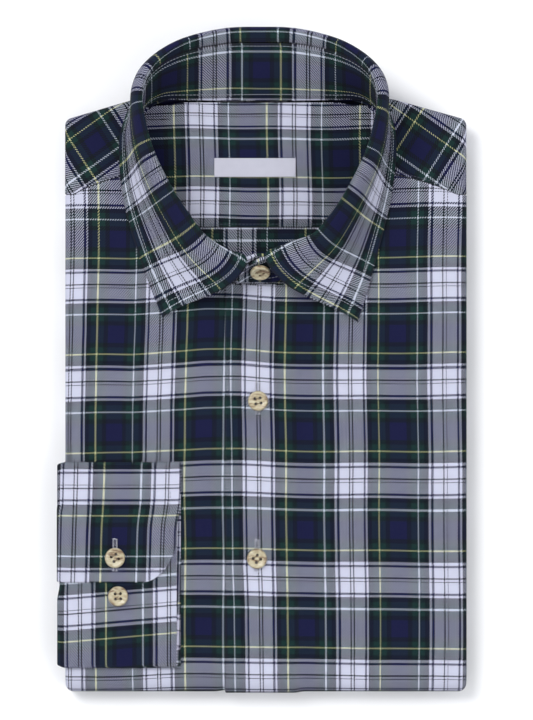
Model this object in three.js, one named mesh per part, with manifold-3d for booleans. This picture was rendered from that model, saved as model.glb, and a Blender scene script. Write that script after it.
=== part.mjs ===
// A long-sleeved check flannel shirt, folded as for a shop shelf and lying on its back.
//
// Frame, in millimetres: +X is the wearer's left, +Y runs from the hem fold to the collar, +Z is up.
// The origin is on the underside, which rests on a flat surface, below the middle of the folded body.
//
// The body is a stack of cloth folded in half. The fronts run over the top of the stack, roll round
// both sides into a crease at mid height, and run round the bottom fold along the underside. Cloth is
// built as a wall: a grid of points on its face, and a second grid behind it.

import * as THREE from 'three';
import { mergeVertices } from 'three/addons/utils/BufferGeometryUtils.js';
import Module from 'manifold-3d';

const manifoldLibrary = await Module();
manifoldLibrary.setup();

// Folded body
const halfWidth = 115.6;
const stackHeight = 20;
const foldRadius = stackHeight / 2;
const foldLineY = -160.6;
const creaseHalfGap = 0.6;
const rollRadius = (foldRadius - creaseHalfGap) / 2;
const rollX = halfWidth - rollRadius;
const tuckDepth = 6;
const hemY = 143;

// Cloth
const clothWall = 1.2;
const seamGap = 0.35;

// Front laps: the wearer's left front lies over the right one
const lapRise = clothWall + 0.3;
const upperLapX = -23.5;
const underLapX = 16;
const lapSlope = 6;
const lapNeckY = 64.3;
const underNeckY = 66.2;

// Neck, measured from its own centre line
const neckCentreX = -3.4;
const neckPointX = 67.3;

// Inner yoke, back panel and label, seen through the neck
const innerTopZ = 17.5;
const innerRise = 1.7;
const innerYokeSeamY = 97.3;
const innerBackY = 168.9;
const innerHalfX = 76;
const backPanelEndY = 56;
const labelBox = { left: -29.9, right: 17.3, bottom: 126, top: 136.9, thick: 1 };

// Collar
const standWall = 2;
const leafWall = 1.8;
const leafFoldRadius = 2.3;

// Collar sections, one side, from the back of the neck round to the front end of the leaf. Distances x
// are from the neck's centre line. seam is the bottom of the stand and top its upper edge, both on the
// neck side; edge is the free edge of the leaf. lift is how far the leaf rises before it folds.
// heading is the way the leaf falls, in degrees from straight back; flare is its slope at the edge, in
// degrees below level, past 90 where it turns back under; reach sets how long that slope is kept.
// The rest is what the wearer's left side differs by: trim moves its edge in and drop moves it towards
// the hem, close moves its stand in, rise moves the top of its stand back, and lap moves the seam
// forward, in front of the other side's.
const collarSections = [
  { seam: [0.0, 169.4, 19.8], top: [0.0, 201.6, 35.0], edge: [0.0, 185.1, 4.5],
    lift: 6.8, heading: 0, flare: 122, reach: 14, trim: 0, drop: 0, close: 0, rise: 0, lap: 0 },
  { seam: [19.6, 169.4, 19.8], top: [19.4, 201.0, 36.0], edge: [20.3, 185.1, 4.5],
    lift: 6.6, heading: 3, flare: 122, reach: 14, trim: 0, drop: 0, close: 0, rise: 0, lap: 0 },
  { seam: [40.3, 169.7, 20.2], top: [39.8, 196.6, 42.0], edge: [41.7, 184.5, 5.0],
    lift: 6.0, heading: 15, flare: 120, reach: 14, trim: 0, drop: 0, close: 0, rise: 0, lap: 0 },
  { seam: [54.1, 170.0, 20.7], top: [52.5, 191.0, 47.0], edge: [56.1, 181.4, 7.5],
    lift: 5.2, heading: 32, flare: 112, reach: 13, trim: 0, drop: 0, close: 0, rise: 0, lap: 0 },
  { seam: [62.1, 167.9, 21.1], top: [61.3, 183.9, 50.0], edge: [66.4, 177.6, 12.0],
    lift: 4.0, heading: 52, flare: 100, reach: 12, trim: 0, drop: 0, close: 0, rise: 0, lap: 0 },
  { seam: [67.3, 163.3, 21.3], top: [65.4, 176.2, 51.3], edge: [71.7, 174.6, 17.5],
    lift: 3.0, heading: 74, flare: 85, reach: 10, trim: 0, drop: 0, close: 0, rise: 0, lap: 0 },
  { seam: [69.9, 155.8, 20.9], top: [66.8, 167.1, 51.8], edge: [75.3, 166.6, 22.3],
    lift: 2.5, heading: 90, flare: 65, reach: 9, trim: 1.2, drop: 0, close: 0, rise: 0, lap: 0 },
  { seam: [70.1, 143.2, 20.5], top: [64.4, 152.4, 51.0], edge: [80.7, 150.5, 22.3],
    lift: 2.5, heading: 102, flare: 45, reach: 10, trim: 2.4, drop: 0, close: 0, rise: 0, lap: 0 },
  { seam: [67.3, 129.9, 20.5], top: [61.0, 139.9, 50.0], edge: [81.2, 135.6, 22.3],
    lift: 2.5, heading: 102, flare: 38, reach: 12, trim: 2.8, drop: 0, close: 0, rise: 0, lap: 0 },
  { seam: [62.4, 117.3, 20.5], top: [56.2, 128.6, 49.0], edge: [80.1, 120.1, 22.3],
    lift: 2.5, heading: 111, flare: 32, reach: 14, trim: 3.4, drop: 0, close: 0, rise: 0, lap: 0 },
  { seam: [55.2, 105.2, 20.5], top: [49.2, 115.6, 47.5], edge: [77.3, 105.7, 22.3],
    lift: 2.5, heading: 111, flare: 26, reach: 16, trim: 3.4, drop: 0, close: 0, rise: 0, lap: 0 },
  { seam: [46.0, 94.3, 20.5], top: [40.9, 103.2, 45.6], edge: [73.5, 91.9, 22.3],
    lift: 2.5, heading: 109, flare: 20, reach: 18, trim: 3.0, drop: 0, close: 0, rise: 0, lap: 0 },
  { seam: [35.6, 83.9, 20.5], top: [32.1, 91.8, 43.8], edge: [68.6, 77.0, 22.3],
    lift: 2.5, heading: 112, flare: 16, reach: 20, trim: 2.2, drop: 0.6, close: 0.8, rise: 0.6, lap: 0 },
  { seam: [24.7, 75.0, 20.5], top: [22.0, 84.3, 42.0], edge: [62.9, 61.5, 22.3],
    lift: 2.5, heading: 117, flare: 12, reach: 22, trim: 1.0, drop: 1.8, close: 0.9, rise: 3.0, lap: 0.9 },
  { seam: [13.8, 69.4, 20.5], top: [10.6, 79.6, 38.6], edge: [56.3, 45.0, 22.3],
    lift: 2.5, heading: 127, flare: 10, reach: 24, trim: 0, drop: 2.6, close: 4.4, rise: 2.0, lap: 2.4 },
];

// Ends of the stand past the leaf, in the part's own x: the under end, and the end that laps over it
const standUnderEnd = [
  { seam: [8, 70.1, 20.5], top: [7, 80.4, 33.5] },
  { seam: [-5, 70.1, 20.5], top: [-5, 82.0, 36.0] },
];
const standUpperEnd = [
  { seam: [-6, 66.6, 22.2], top: [-6.5, 78.0, 36.6] },
  { seam: [-16, 66.4, 22.2], top: [-15.5, 73.0, 30.5] },
];

// Shoulder stations of the outer yoke, one side, from the forward seam's outer end to the neck's back.
// roll is the centre of the edge roll, turn the way it faces in degrees from +X, seam the inner edge.
const yokeStations = [
  { roll: [110.9, 116.0], turn: 0, seam: [110.5, 116.1] },
  { roll: [110.9, 128.0], turn: 0, seam: [104.5, 118.9] },
  { roll: [110.9, 142.0], turn: 0, seam: [99.0, 121.2] },
  { roll: [110.9, 155.6], turn: 0, seam: [93.0, 123.2] },
  { roll: [110.9, 155.6], turn: 37, seam: [89.5, 124.3] },
  { roll: [110.9, 155.6], turn: 74, seam: [86.0, 125.3] },
  { roll: [99.0, 159.0], turn: 74, seam: [79.0, 127.2] },
  { roll: [88.0, 162.2], turn: 74, seam: [73.0, 128.8] },
  { roll: [80.0, 164.5], turn: 74, seam: [67.8, 130.4] },
  { roll: [76.5, 165.5], turn: 76, seam: [70.2, 143.2] },
  { roll: [72.5, 166.5], turn: 84, seam: [70.2, 155.8] },
  { roll: [67.5, 166.6], turn: 90, seam: [67.0, 161.6] },
  { roll: [62.0, 166.6], turn: 90, seam: [61.0, 167.2] },
  { roll: [54.0, 166.6], turn: 90, seam: [54.0, 171.0] },
  { roll: [40.0, 166.6], turn: 90, seam: [40.0, 171.0] },
  { roll: [20.0, 166.6], turn: 90, seam: [20.0, 171.0] },
  { roll: [0.0, 166.6], turn: 90, seam: [0.0, 171.0] },
];

// Right cuff, flattened, seen from above: its top fold, bottom fold and free edge
const cuff = {
  foldTopY: -38,
  foldBottomY: -156.3,
  freeX: -49,
  wall: 1.5,
  gap: 0.3,
  lapEdgeY: -107,
  cornerX: -70.2,
  cornerY: -77,
  freeSlantX: 2.2,
  underEndY: -72,
  bendDegrees: 72,
};

// Sleeve end, pressed flat, from the cuff round the side into the crease
const sleeve = { innerRadius: rollRadius + 0.3, outerRadius: rollRadius + 3.6, start: 77, end: 150 };

// Hidden layers, bottom and top of each, with how far its ends reach
const hiddenLayers = [
  { bottom: 15.2, top: 18.4, sideX: 110.9, foldX: 108.5, foldY: -158.6, backY: null },
  { bottom: 12.0, top: 15.4, sideX: 110.9, foldX: 107.5, foldY: -164.2, backY: null },
  { bottom: 7.7, top: 12.3, sideX: 101.8, foldX: 101.8, foldY: -164.4, backY: 132 },
  { bottom: 5.2, top: 8.0, sideX: 110.9, foldX: 107.5, foldY: -164.2, backY: 142.6 },
  { bottom: 3.1, top: 5.4, sideX: 110.9, foldX: 108.5, foldY: -158.6, backY: 140.4 },
];

// How far the hidden layers stay inside their cover
const layerInset = 0.3;

// Buttons: one size for all
const button = { radius: 5.75, thick: 2.6, holeRadius: 0.85, holeOffset: 1.5 };
const buttonPlaces = [
  { name: 'button_front_1', at: [-4.6, -2.8, 21.8], tilt: 0, turn: 10 },
  { name: 'button_front_2', at: [-5.2, -93.5, 21.8], tilt: 0, turn: 38 },
  { name: 'button_cuff_1', at: [-86.6, -92.8, 25.8], tilt: 0, turn: 30 },
  { name: 'button_cuff_2', at: [-84.9, -114.9, 24.0], tilt: 0, turn: 4 },
  { name: 'button_collar', at: [-3.3, 71.6, 32.9], tilt: 50, turn: 40 },
];

const colours = {
  cloth: '#3d4656',
  hidden: '#59606c',
  label: '#e6e4de',
  horn: '#b9a06c',
};

const group = new THREE.Group();

function addMesh(name, geometry, colour, roughness) {
  const material = new THREE.MeshStandardMaterial({ color: colour, roughness, metalness: 0 });
  const mesh = new THREE.Mesh(geometry, material);
  mesh.name = name;
  group.add(mesh);
}

// Small helpers

const vector = (x, y, z) => new THREE.Vector3(x, y, z);
const radians = (degrees) => THREE.MathUtils.degToRad(degrees);
const lerp = THREE.MathUtils.lerp;
const clamp01 = (value) => THREE.MathUtils.clamp(value, 0, 1);
const smooth = (value) => THREE.MathUtils.smoothstep(value, 0, 1);

function evenSteps(from, to, count) {
  return Array.from({ length: count + 1 }, (_, k) => lerp(from, to, k / count));
}

function catmull(a, b, c, d, t) {
  return 0.5 * (2 * b + (c - a) * t + (2 * a - 5 * b + 4 * c - d) * t * t + (3 * b - a - 3 * c + d) * t ** 3);
}

// Smooth value of one column of a table of rows, at a fractional row
function columnAt(rows, row, read) {
  const last = rows.length - 1;
  const k = Math.min(Math.floor(row), last - 1);
  const near = (index) => read(rows[THREE.MathUtils.clamp(index, 0, last)]);
  const before = k > 0 ? near(k - 1) : 2 * near(0) - near(1);
  const after = k + 2 <= last ? near(k + 2) : 2 * near(last) - near(last - 1);
  return catmull(before, near(k), near(k + 1), after, row - k);
}

function pointColumnAt(rows, row, key) {
  return vector(...[0, 1, 2].map((axis) => columnAt(rows, row, (entry) => entry[key][axis])));
}

function linearY(points, x) {
  for (let k = 0; k < points.length - 1; k += 1) {
    const [ax, ay] = points[k];
    const [bx, by] = points[k + 1];
    if (x >= Math.min(ax, bx) && x <= Math.max(ax, bx)) return lerp(ay, by, (x - ax) / (bx - ax));
  }
  return x < points[0][0] ? points[0][1] : points[points.length - 1][1];
}

// Closed solids from grids and rings

function closedGeometry(points, triangles) {
  const volume = triangles.reduce((sum, [a, b, c]) => {
    return sum + points[a].dot(new THREE.Vector3().crossVectors(points[b], points[c]));
  }, 0);
  const facing = volume < 0 ? triangles.map(([a, b, c]) => [a, c, b]) : triangles;
  const geometry = new THREE.BufferGeometry();
  geometry.setAttribute('position', new THREE.Float32BufferAttribute(points.flatMap((p) => [p.x, p.y, p.z]), 3));
  geometry.setIndex(facing.flat());
  geometry.computeVertexNormals();
  return geometry;
}

function gridNormals(grid) {
  const normals = grid.map((line) => line.map(() => vector(0, 0, 0)));
  for (let i = 0; i < grid.length - 1; i += 1) {
    for (let j = 0; j < grid[0].length - 1; j += 1) {
      const across = grid[i + 1][j + 1].clone().sub(grid[i][j]);
      const back = grid[i][j + 1].clone().sub(grid[i + 1][j]);
      const normal = across.cross(back).normalize();
      normals[i][j].add(normal);
      normals[i + 1][j].add(normal);
      normals[i][j + 1].add(normal);
      normals[i + 1][j + 1].add(normal);
    }
  }
  normals.forEach((line) => line.forEach((normal) => normal.normalize()));
  return normals;
}

// A cloth wall: the grid is its face, and a positive thickness goes along the grid's own normal
function wallGeometry(grid, thickness) {
  const normals = gridNormals(grid);
  const columns = grid.length;
  const rows = grid[0].length;
  const back = grid.map((line, i) => line.map((point, j) => point.clone().addScaledVector(normals[i][j], thickness)));
  const points = [...grid.flat(), ...back.flat()];
  const face = (i, j) => i * rows + j;
  const rear = (i, j) => columns * rows + face(i, j);
  const triangles = [];
  const quad = (a, b, c, d) => triangles.push([a, b, c], [a, c, d]);
  for (let i = 0; i < columns - 1; i += 1) {
    for (let j = 0; j < rows - 1; j += 1) {
      quad(face(i, j), face(i + 1, j), face(i + 1, j + 1), face(i, j + 1));
      quad(rear(i, j), rear(i, j + 1), rear(i + 1, j + 1), rear(i + 1, j));
    }
  }
  for (let i = 0; i < columns - 1; i += 1) {
    quad(face(i, 0), rear(i, 0), rear(i + 1, 0), face(i + 1, 0));
    quad(face(i + 1, rows - 1), rear(i + 1, rows - 1), rear(i, rows - 1), face(i, rows - 1));
  }
  for (let j = 0; j < rows - 1; j += 1) {
    quad(face(0, j + 1), rear(0, j + 1), rear(0, j), face(0, j));
    quad(face(columns - 1, j), rear(columns - 1, j), rear(columns - 1, j + 1), face(columns - 1, j + 1));
  }
  return closedGeometry(points, triangles);
}

// A solid skinned over closed rings of points, with a flat fan on each end
function ringGeometry(rings) {
  const size = rings[0].length;
  const points = rings.flat();
  const triangles = [];
  for (let r = 0; r < rings.length - 1; r += 1) {
    for (let k = 0; k < size; k += 1) {
      const next = (k + 1) % size;
      triangles.push([r * size + k, r * size + next, (r + 1) * size + next]);
      triangles.push([r * size + k, (r + 1) * size + next, (r + 1) * size + k]);
    }
  }
  const lastRing = (rings.length - 1) * size;
  const middleOf = (ring) => ring.reduce((sum, p) => sum.add(p), vector(0, 0, 0)).divideScalar(size);
  points.push(middleOf(rings[0]), middleOf(rings[rings.length - 1]));
  const [startMiddle, endMiddle] = [points.length - 2, points.length - 1];
  for (let k = 0; k < size; k += 1) {
    const next = (k + 1) % size;
    triangles.push([startMiddle, next, k]);
    triangles.push([endMiddle, lastRing + k, lastRing + next]);
  }
  return closedGeometry(points, triangles);
}

// Joining and cutting

function toManifold(geometry) {
  const bare = geometry.clone();
  bare.deleteAttribute('normal');
  bare.deleteAttribute('uv');
  const merged = mergeVertices(bare, 1e-4);
  const mesh = new manifoldLibrary.Mesh({
    numProp: 3,
    vertProperties: new Float32Array(merged.attributes.position.array),
    triVerts: new Uint32Array(merged.index.array),
  });
  return new manifoldLibrary.Manifold(mesh);
}

function fromManifold(solid) {
  const mesh = solid.getMesh();
  const geometry = new THREE.BufferGeometry();
  geometry.setAttribute('position', new THREE.BufferAttribute(new Float32Array(mesh.vertProperties), 3));
  geometry.setIndex(new THREE.BufferAttribute(new Uint32Array(mesh.triVerts), 1));
  geometry.computeVertexNormals();
  return geometry;
}

// The neck seam, one side, from the neck point to the front end of the leaf
const neckPointRow = 8;
const forwardSeamStations = 9;
const frontNeck = collarSections.slice(neckPointRow).map((section) => [section.seam[0], section.seam[1]]);

// Points of the neck move with the neck's centre, which is a little off the body's middle
function shiftWithNeck(side, x) {
  const share = clamp01((halfWidth - x) / (halfWidth - neckPointX));
  return side * x + neckCentreX * share;
}

function forwardSeamX(side, station) {
  return side * shiftWithNeck(side, station.seam[0]);
}

// Top edge of a front at distance x from the body's middle: the forward seam, then the neck seam
function frontTopY(side, x) {
  const shift = side * neckCentreX;
  const neckX = neckPointX + shift;
  const lapY = side > 0 ? lapNeckY : underNeckY;
  const neck = frontNeck.map(([px, py]) => [px + shift, py - seamGap]).reverse();
  if (x <= neck[0][0]) return lapY;
  if (x < neckX) return Math.max(lapY, linearY(neck, x));
  const forwardSeam = yokeStations.slice(0, forwardSeamStations).map((station) => {
    return [forwardSeamX(side, station), station.seam[1] - seamGap];
  });
  return linearY(forwardSeam.reverse(), x);
}

// Cross section of a front, across the body: distance from the middle, and height above the mid plane
function frontProfile(a) {
  if (a <= rollX) return { x: a, rise: foldRadius };
  const turn = (a - rollX) / rollRadius;
  if (turn <= Math.PI) {
    return {
      x: rollX + rollRadius * Math.sin(turn),
      rise: foldRadius - rollRadius + rollRadius * Math.cos(turn),
    };
  }
  return { x: rollX - (turn - Math.PI) * rollRadius, rise: creaseHalfGap };
}

function frontGeometry(side, flatColumns, lapOffset) {
  const roll = evenSteps(0, Math.PI, 7).slice(1).map((turn) => rollX + turn * rollRadius);
  const columns = [...flatColumns, ...roll, rollX + Math.PI * rollRadius + tuckDepth];
  const grid = columns.map((a) => {
    const { x, rise } = frontProfile(a);
    const topY = frontTopY(side, Math.min(a, halfWidth));
    const line = [];
    evenSteps(0, 1, 4).forEach((t) => {
      line.push(vector(side * x, lerp(topY, foldLineY, t), foldRadius + rise + lapOffset(a, 0)));
    });
    evenSteps(0, Math.PI, 8).slice(1).forEach((turn) => {
      const reach = rise + lapOffset(a, turn / Math.PI);
      line.push(vector(side * x, foldLineY - reach * Math.sin(turn), foldRadius + reach * Math.cos(turn)));
    });
    evenSteps(foldLineY, hemY, 2).slice(1).forEach((y) => {
      line.push(vector(side * x, y, foldRadius - rise - lapOffset(a, 1)));
    });
    return line;
  });
  return wallGeometry(grid, side > 0 ? clothWall : -clothWall);
}

function makeFronts() {
  const seamColumns = (side) => [
    ...yokeStations.slice(0, forwardSeamStations).map((station) => forwardSeamX(side, station)).reverse(),
    rollX,
  ];
  const upperColumns = [
    upperLapX, -8, 6, 10.4,
    ...evenSteps(underLapX, underLapX + lapSlope, 3),
    ...evenSteps(underLapX + lapSlope, neckPointX + neckCentreX, 6).slice(1, -1),
    ...seamColumns(1),
  ];
  const upperOffset = (a, turned) => {
    const inLap = 1 - smooth((a - underLapX) / lapSlope);
    return lapRise * inLap * (1 - turned);
  };
  addMesh('left_front', frontGeometry(1, upperColumns, upperOffset), colours.cloth, 0.9);

  const slopeX = -upperLapX;
  const underColumns = [
    ...evenSteps(-underLapX, 10, 2),
    17.2,
    ...evenSteps(slopeX, slopeX + lapSlope, 3),
    ...evenSteps(slopeX + lapSlope, neckPointX - neckCentreX, 5).slice(1, -1),
    ...seamColumns(-1),
  ];
  const underOffset = (a, turned) => {
    const inLap = 1 - smooth((a - slopeX) / lapSlope);
    return -lapRise * inLap * turned;
  };
  addMesh('right_front', frontGeometry(-1, underColumns, underOffset), colours.cloth, 0.9);
}

// One section of the outer yoke: from its inner edge, over the edge roll, into the crease
function yokeSection(side, station) {
  const facing = vector(side * Math.cos(radians(station.turn)), Math.sin(radians(station.turn)), 0);
  const centreZ = stackHeight - rollRadius;
  const neckShare = clamp01((halfWidth - station.roll[0]) / (halfWidth - neckPointX));
  const centre = vector(side * station.roll[0] + neckCentreX * neckShare * (station.turn >= 89 ? 1 : 0.4),
    station.roll[1], centreZ);
  const inner = vector(shiftWithNeck(side, station.seam[0]), station.seam[1], stackHeight);
  const onRoll = (turn) => centre.clone()
    .addScaledVector(facing, rollRadius * Math.sin(turn))
    .add(vector(0, 0, rollRadius * Math.cos(turn)));
  const past = inner.clone().sub(centre).dot(facing);
  const startTurn = past > 0 ? Math.asin(Math.min(1, past / rollRadius)) : 0;
  const kneeTurn = past > 0 ? startTurn + 0.45 : 0;
  const line = evenSteps(0, 1, 3).map((t) => {
    return past > 0 ? onRoll(lerp(startTurn, kneeTurn, t)) : inner.clone().lerp(onRoll(0), t);
  });
  evenSteps(kneeTurn, Math.PI, 7).slice(1).forEach((turn) => line.push(onRoll(turn)));
  line.push(onRoll(Math.PI).addScaledVector(facing, -tuckDepth));
  return line;
}

function makeOuterYoke() {
  const between = (a, b, t) => ({
    roll: [lerp(a.roll[0], b.roll[0], t), lerp(a.roll[1], b.roll[1], t)],
    turn: lerp(a.turn, b.turn, t),
    seam: [lerp(a.seam[0], b.seam[0], t), lerp(a.seam[1], b.seam[1], t)],
  });
  const half = yokeStations.flatMap((station, k) => {
    const next = yokeStations[k + 1];
    return next && next.turn !== station.turn ? [station, between(station, next, 0.5)] : [station];
  });
  const left = half.map((station) => yokeSection(-1, station));
  const right = half.slice(0, -1).map((station) => yokeSection(1, station)).reverse();
  addMesh('yoke_outer', wallGeometry([...left, ...right], -clothWall), colours.cloth, 0.9);
}

// Inner yoke and back panel: one level inside the neck, rising to the seam at the back of the stand
function innerZ(x, y) {
  const middle = 1 - smooth((Math.abs(x) - 40) / 14);
  return innerTopZ + innerRise * middle * smooth((y - 156) / (innerBackY - 156));
}

function innerGeometry(fromY, toY, rows) {
  const grid = evenSteps(-1, 1, 16).map((across) => {
    const x = across * innerHalfX;
    const endY = (y) => (y > 160 ? y - 1.7 * smooth((Math.abs(x) - 44) / 12) : y);
    return evenSteps(fromY, toY, rows).map((y) => vector(neckCentreX + x, endY(y), innerZ(x, y)));
  });
  return wallGeometry(grid, -clothWall);
}

function makeInside() {
  addMesh('yoke_inner', innerGeometry(innerYokeSeamY, innerBackY, 9), colours.cloth, 0.9);
  addMesh('back_panel', innerGeometry(backPanelEndY, innerYokeSeamY - seamGap, 3), colours.cloth, 0.9);
  const { left, right, bottom, top, thick } = labelBox;
  const labelTopZ = innerTopZ + seamGap + thick;
  const grid = evenSteps(left, right, 6).map((x) => evenSteps(bottom, top, 2).map((y) => vector(x, y, labelTopZ)));
  addMesh('neck_label', wallGeometry(grid, -thick), colours.label, 0.7);
}

// Collar: both sides in one run of sections, from the wearer's right front end to the left front end

function placedSection(side, section) {
  const same = { trim: 0, drop: 0, close: 0, rise: 0, lap: 0 };
  const { trim, drop, close, rise, lap } = side > 0 ? section : same;
  const atNeck = ([x, y, z], inward, up) => [neckCentreX + side * (x - inward), y + up, z];
  const seam = atNeck(section.seam, close, -lap);
  const inLap = side > 0 ? 1 - smooth((seam[0] - underLapX) / (2 * lapSlope)) : 0;
  seam[2] += lapRise * inLap;
  return {
    ...section,
    seam,
    top: atNeck(section.top, close, rise),
    edge: atNeck(section.edge, trim, -drop),
    heading: [side * Math.sin(radians(section.heading)), Math.cos(radians(section.heading)), 0],
  };
}

const leafSections = [
  ...collarSections.slice(1).reverse().map((section) => placedSection(-1, section)),
  ...collarSections.map((section) => placedSection(1, section)),
];

function standGeometry() {
  const rows = [...standUnderEnd, ...leafSections, ...standUpperEnd];
  const grid = evenSteps(0, rows.length - 1, 64).map((row) => {
    const seam = pointColumnAt(rows, row, 'seam');
    const top = pointColumnAt(rows, row, 'top');
    return evenSteps(0, 1, 4).map((t) => seam.clone().lerp(top, t));
  });
  return wallGeometry(grid, -standWall);
}

function leafSectionLine(row) {
  const seam = pointColumnAt(leafSections, row, 'seam');
  const top = pointColumnAt(leafSections, row, 'top');
  const edge = pointColumnAt(leafSections, row, 'edge');
  const heading = pointColumnAt(leafSections, row, 'heading').normalize();
  const flare = radians(columnAt(leafSections, row, (entry) => entry.flare));
  const reach = columnAt(leafSections, row, (entry) => entry.reach);
  const lift = columnAt(leafSections, row, (entry) => entry.lift);
  const last = leafSections.length - 1;
  const along = pointColumnAt(leafSections, Math.min(row + 0.25, last), 'top')
    .sub(pointColumnAt(leafSections, Math.max(row - 0.25, 0), 'top')).normalize();
  const up = top.clone().sub(seam);
  up.addScaledVector(along, -up.dot(along)).normalize();
  const outward = new THREE.Vector3().crossVectors(up, along).normalize();
  const centre = top.clone().addScaledVector(up, lift).addScaledVector(outward, leafFoldRadius);
  const toEdge = edge.clone().sub(centre);
  const bulge = radians(30);
  const wholeTurn = Math.atan2(toEdge.dot(outward), toEdge.dot(up)) - bulge;
  const onFold = (turn) => centre.clone()
    .addScaledVector(outward, -leafFoldRadius * Math.cos(turn))
    .addScaledVector(up, leafFoldRadius * Math.sin(turn));
  const leaving = up.clone().multiplyScalar(Math.cos(wholeTurn)).addScaledVector(outward, Math.sin(wholeTurn));
  const start = onFold(wholeTurn);
  const arriving = heading.clone().multiplyScalar(Math.cos(flare)).add(vector(0, 0, -Math.sin(flare)));
  const span = start.distanceTo(edge);
  const curve = new THREE.CubicBezierCurve3(
    start,
    start.clone().addScaledVector(leaving, 0.3 * span),
    edge.clone().addScaledVector(arriving, -reach),
    edge,
  );
  const line = [top.clone().addScaledVector(up, seamGap + 0.2)];
  evenSteps(0, wholeTurn, 5).forEach((turn) => line.push(onFold(turn)));
  evenSteps(0, 1, 7).slice(1).forEach((t) => line.push(curve.getPoint(t)));
  return line;
}

function makeCollar() {
  addMesh('collar_stand', standGeometry(), colours.cloth, 0.9);
  const grid = evenSteps(0, leafSections.length - 1, 46).map((row) => leafSectionLine(row));
  addMesh('collar_leaf', wallGeometry(grid, -leafWall), colours.cloth, 0.9);
}

// Right cuff: a strip wound into a flat tube, its upper lap over its under lap, bent down at the side

const plyStep = cuff.wall + cuff.gap;
const tubeRadius = (plyStep + cuff.wall) / 2;

// Rows along the wound strip, from the upper lap's edge to the under lap's end: y, the height of the
// outer face above the body, and whether that ply is free to stand off where the cuff bends down
const lowLevel = cuff.gap;
const midLevel = 2 * plyStep;
const topLevel = 3 * plyStep;

function cuffStrip(edgeY) {
  const foldTop = cuff.foldTopY - tubeRadius;
  const foldBottom = cuff.foldBottomY + tubeRadius;
  const meetY = cuff.underEndY + 1;
  const strip = [];
  evenSteps(edgeY, meetY, 3).forEach((y) => strip.push([y, topLevel, 0]));
  evenSteps(0, 1, 3).slice(1).forEach((t) => {
    strip.push([meetY + 8 * t, lerp(topLevel, midLevel, smooth(t)), 1]);
  });
  strip.push([-50, midLevel, 1]);
  evenSteps(0, Math.PI, 6).forEach((turn) => {
    strip.push([foldTop + tubeRadius * Math.sin(turn), lowLevel + tubeRadius * (1 + Math.cos(turn)), 1]);
  });
  evenSteps(foldTop, foldBottom, 4).slice(1, -1).forEach((y) => strip.push([y, lowLevel, 1]));
  evenSteps(0, Math.PI, 6).forEach((turn) => {
    strip.push([foldBottom - tubeRadius * Math.sin(turn), lowLevel + tubeRadius * (1 - Math.cos(turn)), 1]);
  });
  [-140, -122, -111, -105, -90, cuff.underEndY].forEach((y) => {
    strip.push([y, midLevel, smooth((cuff.lapEdgeY - 1 - y) / 10)]);
  });
  return strip;
}

// The upper lap's edge: straight, then rounded up to the free edge
function lapEdgeAt(x) {
  const along = clamp01((x - cuff.cornerX) / (cuff.freeX - cuff.cornerX));
  return cuff.cornerY - (cuff.cornerY - cuff.lapEdgeY) * Math.sqrt(1 - 0.985 * along * along);
}

function cuffPoint(x, bend, y, height, free) {
  const middleY = (cuff.foldTopY + cuff.foldBottomY) / 2;
  const drawn = 1 - 0.03 * smooth(bend / radians(cuff.bendDegrees));
  const placedY = middleY + (y - middleY) * drawn;
  if (bend === 0) {
    const slant = height > 3.5 ? cuff.freeSlantX * smooth((-58 - y) / 20) : 0;
    const share = (x + rollX) / (cuff.freeX + rollX);
    return vector(x - slant * share, placedY, stackHeight + height);
  }
  const standOff = ((topLevel - midLevel) / (midLevel - lowLevel)) * free * Math.sin(bend) ** 2;
  const radius = rollRadius + Math.min(topLevel, lowLevel + (height - lowLevel) * (1 + standOff));
  return vector(-rollX - radius * Math.sin(bend), placedY, stackHeight - rollRadius + radius * Math.cos(bend));
}

function makeCuff() {
  const flat = evenSteps(cuff.freeX, cuff.cornerX, 5).concat(evenSteps(cuff.cornerX, -rollX, 3).slice(1));
  const bends = evenSteps(0, radians(cuff.bendDegrees), 5).slice(1);
  const columns = [...flat.map((x) => ({ x, bend: 0 })), ...bends.map((bend) => ({ x: -rollX, bend }))];
  const grid = columns.map(({ x, bend }) => {
    return cuffStrip(lapEdgeAt(x)).map(([y, height, free]) => cuffPoint(x, bend, y, height, free));
  });
  addMesh('right_cuff', wallGeometry(grid, cuff.wall), colours.cloth, 0.9);
}

// Sleeve end: a flat double layer with rounded folds, bent round the side from the cuff into the crease
function makeSleeve() {
  const halfThick = (sleeve.outerRadius - sleeve.innerRadius) / 2;
  const middleRadius = (sleeve.outerRadius + sleeve.innerRadius) / 2;
  const foldTop = cuff.foldTopY - 2 - halfThick;
  const foldBottom = cuff.foldBottomY + 2 + halfThick;
  const section = [];
  evenSteps(0, Math.PI, 6).forEach((turn) => {
    section.push([foldTop + halfThick * Math.sin(turn), middleRadius + halfThick * Math.cos(turn)]);
  });
  evenSteps(0, Math.PI, 6).forEach((turn) => {
    section.push([foldBottom - halfThick * Math.sin(turn), middleRadius - halfThick * Math.cos(turn)]);
  });
  const rings = evenSteps(radians(sleeve.start), radians(sleeve.end), 8).map((bend) => {
    return section.map(([y, radius]) => vector(
      -rollX - radius * Math.sin(bend), y, stackHeight - rollRadius + radius * Math.cos(bend)));
  });
  addMesh('right_sleeve', ringGeometry(rings), colours.cloth, 0.9);
}

// Hidden layers: rounded slabs joined into one solid, so that their edges show as separate folds

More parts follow.
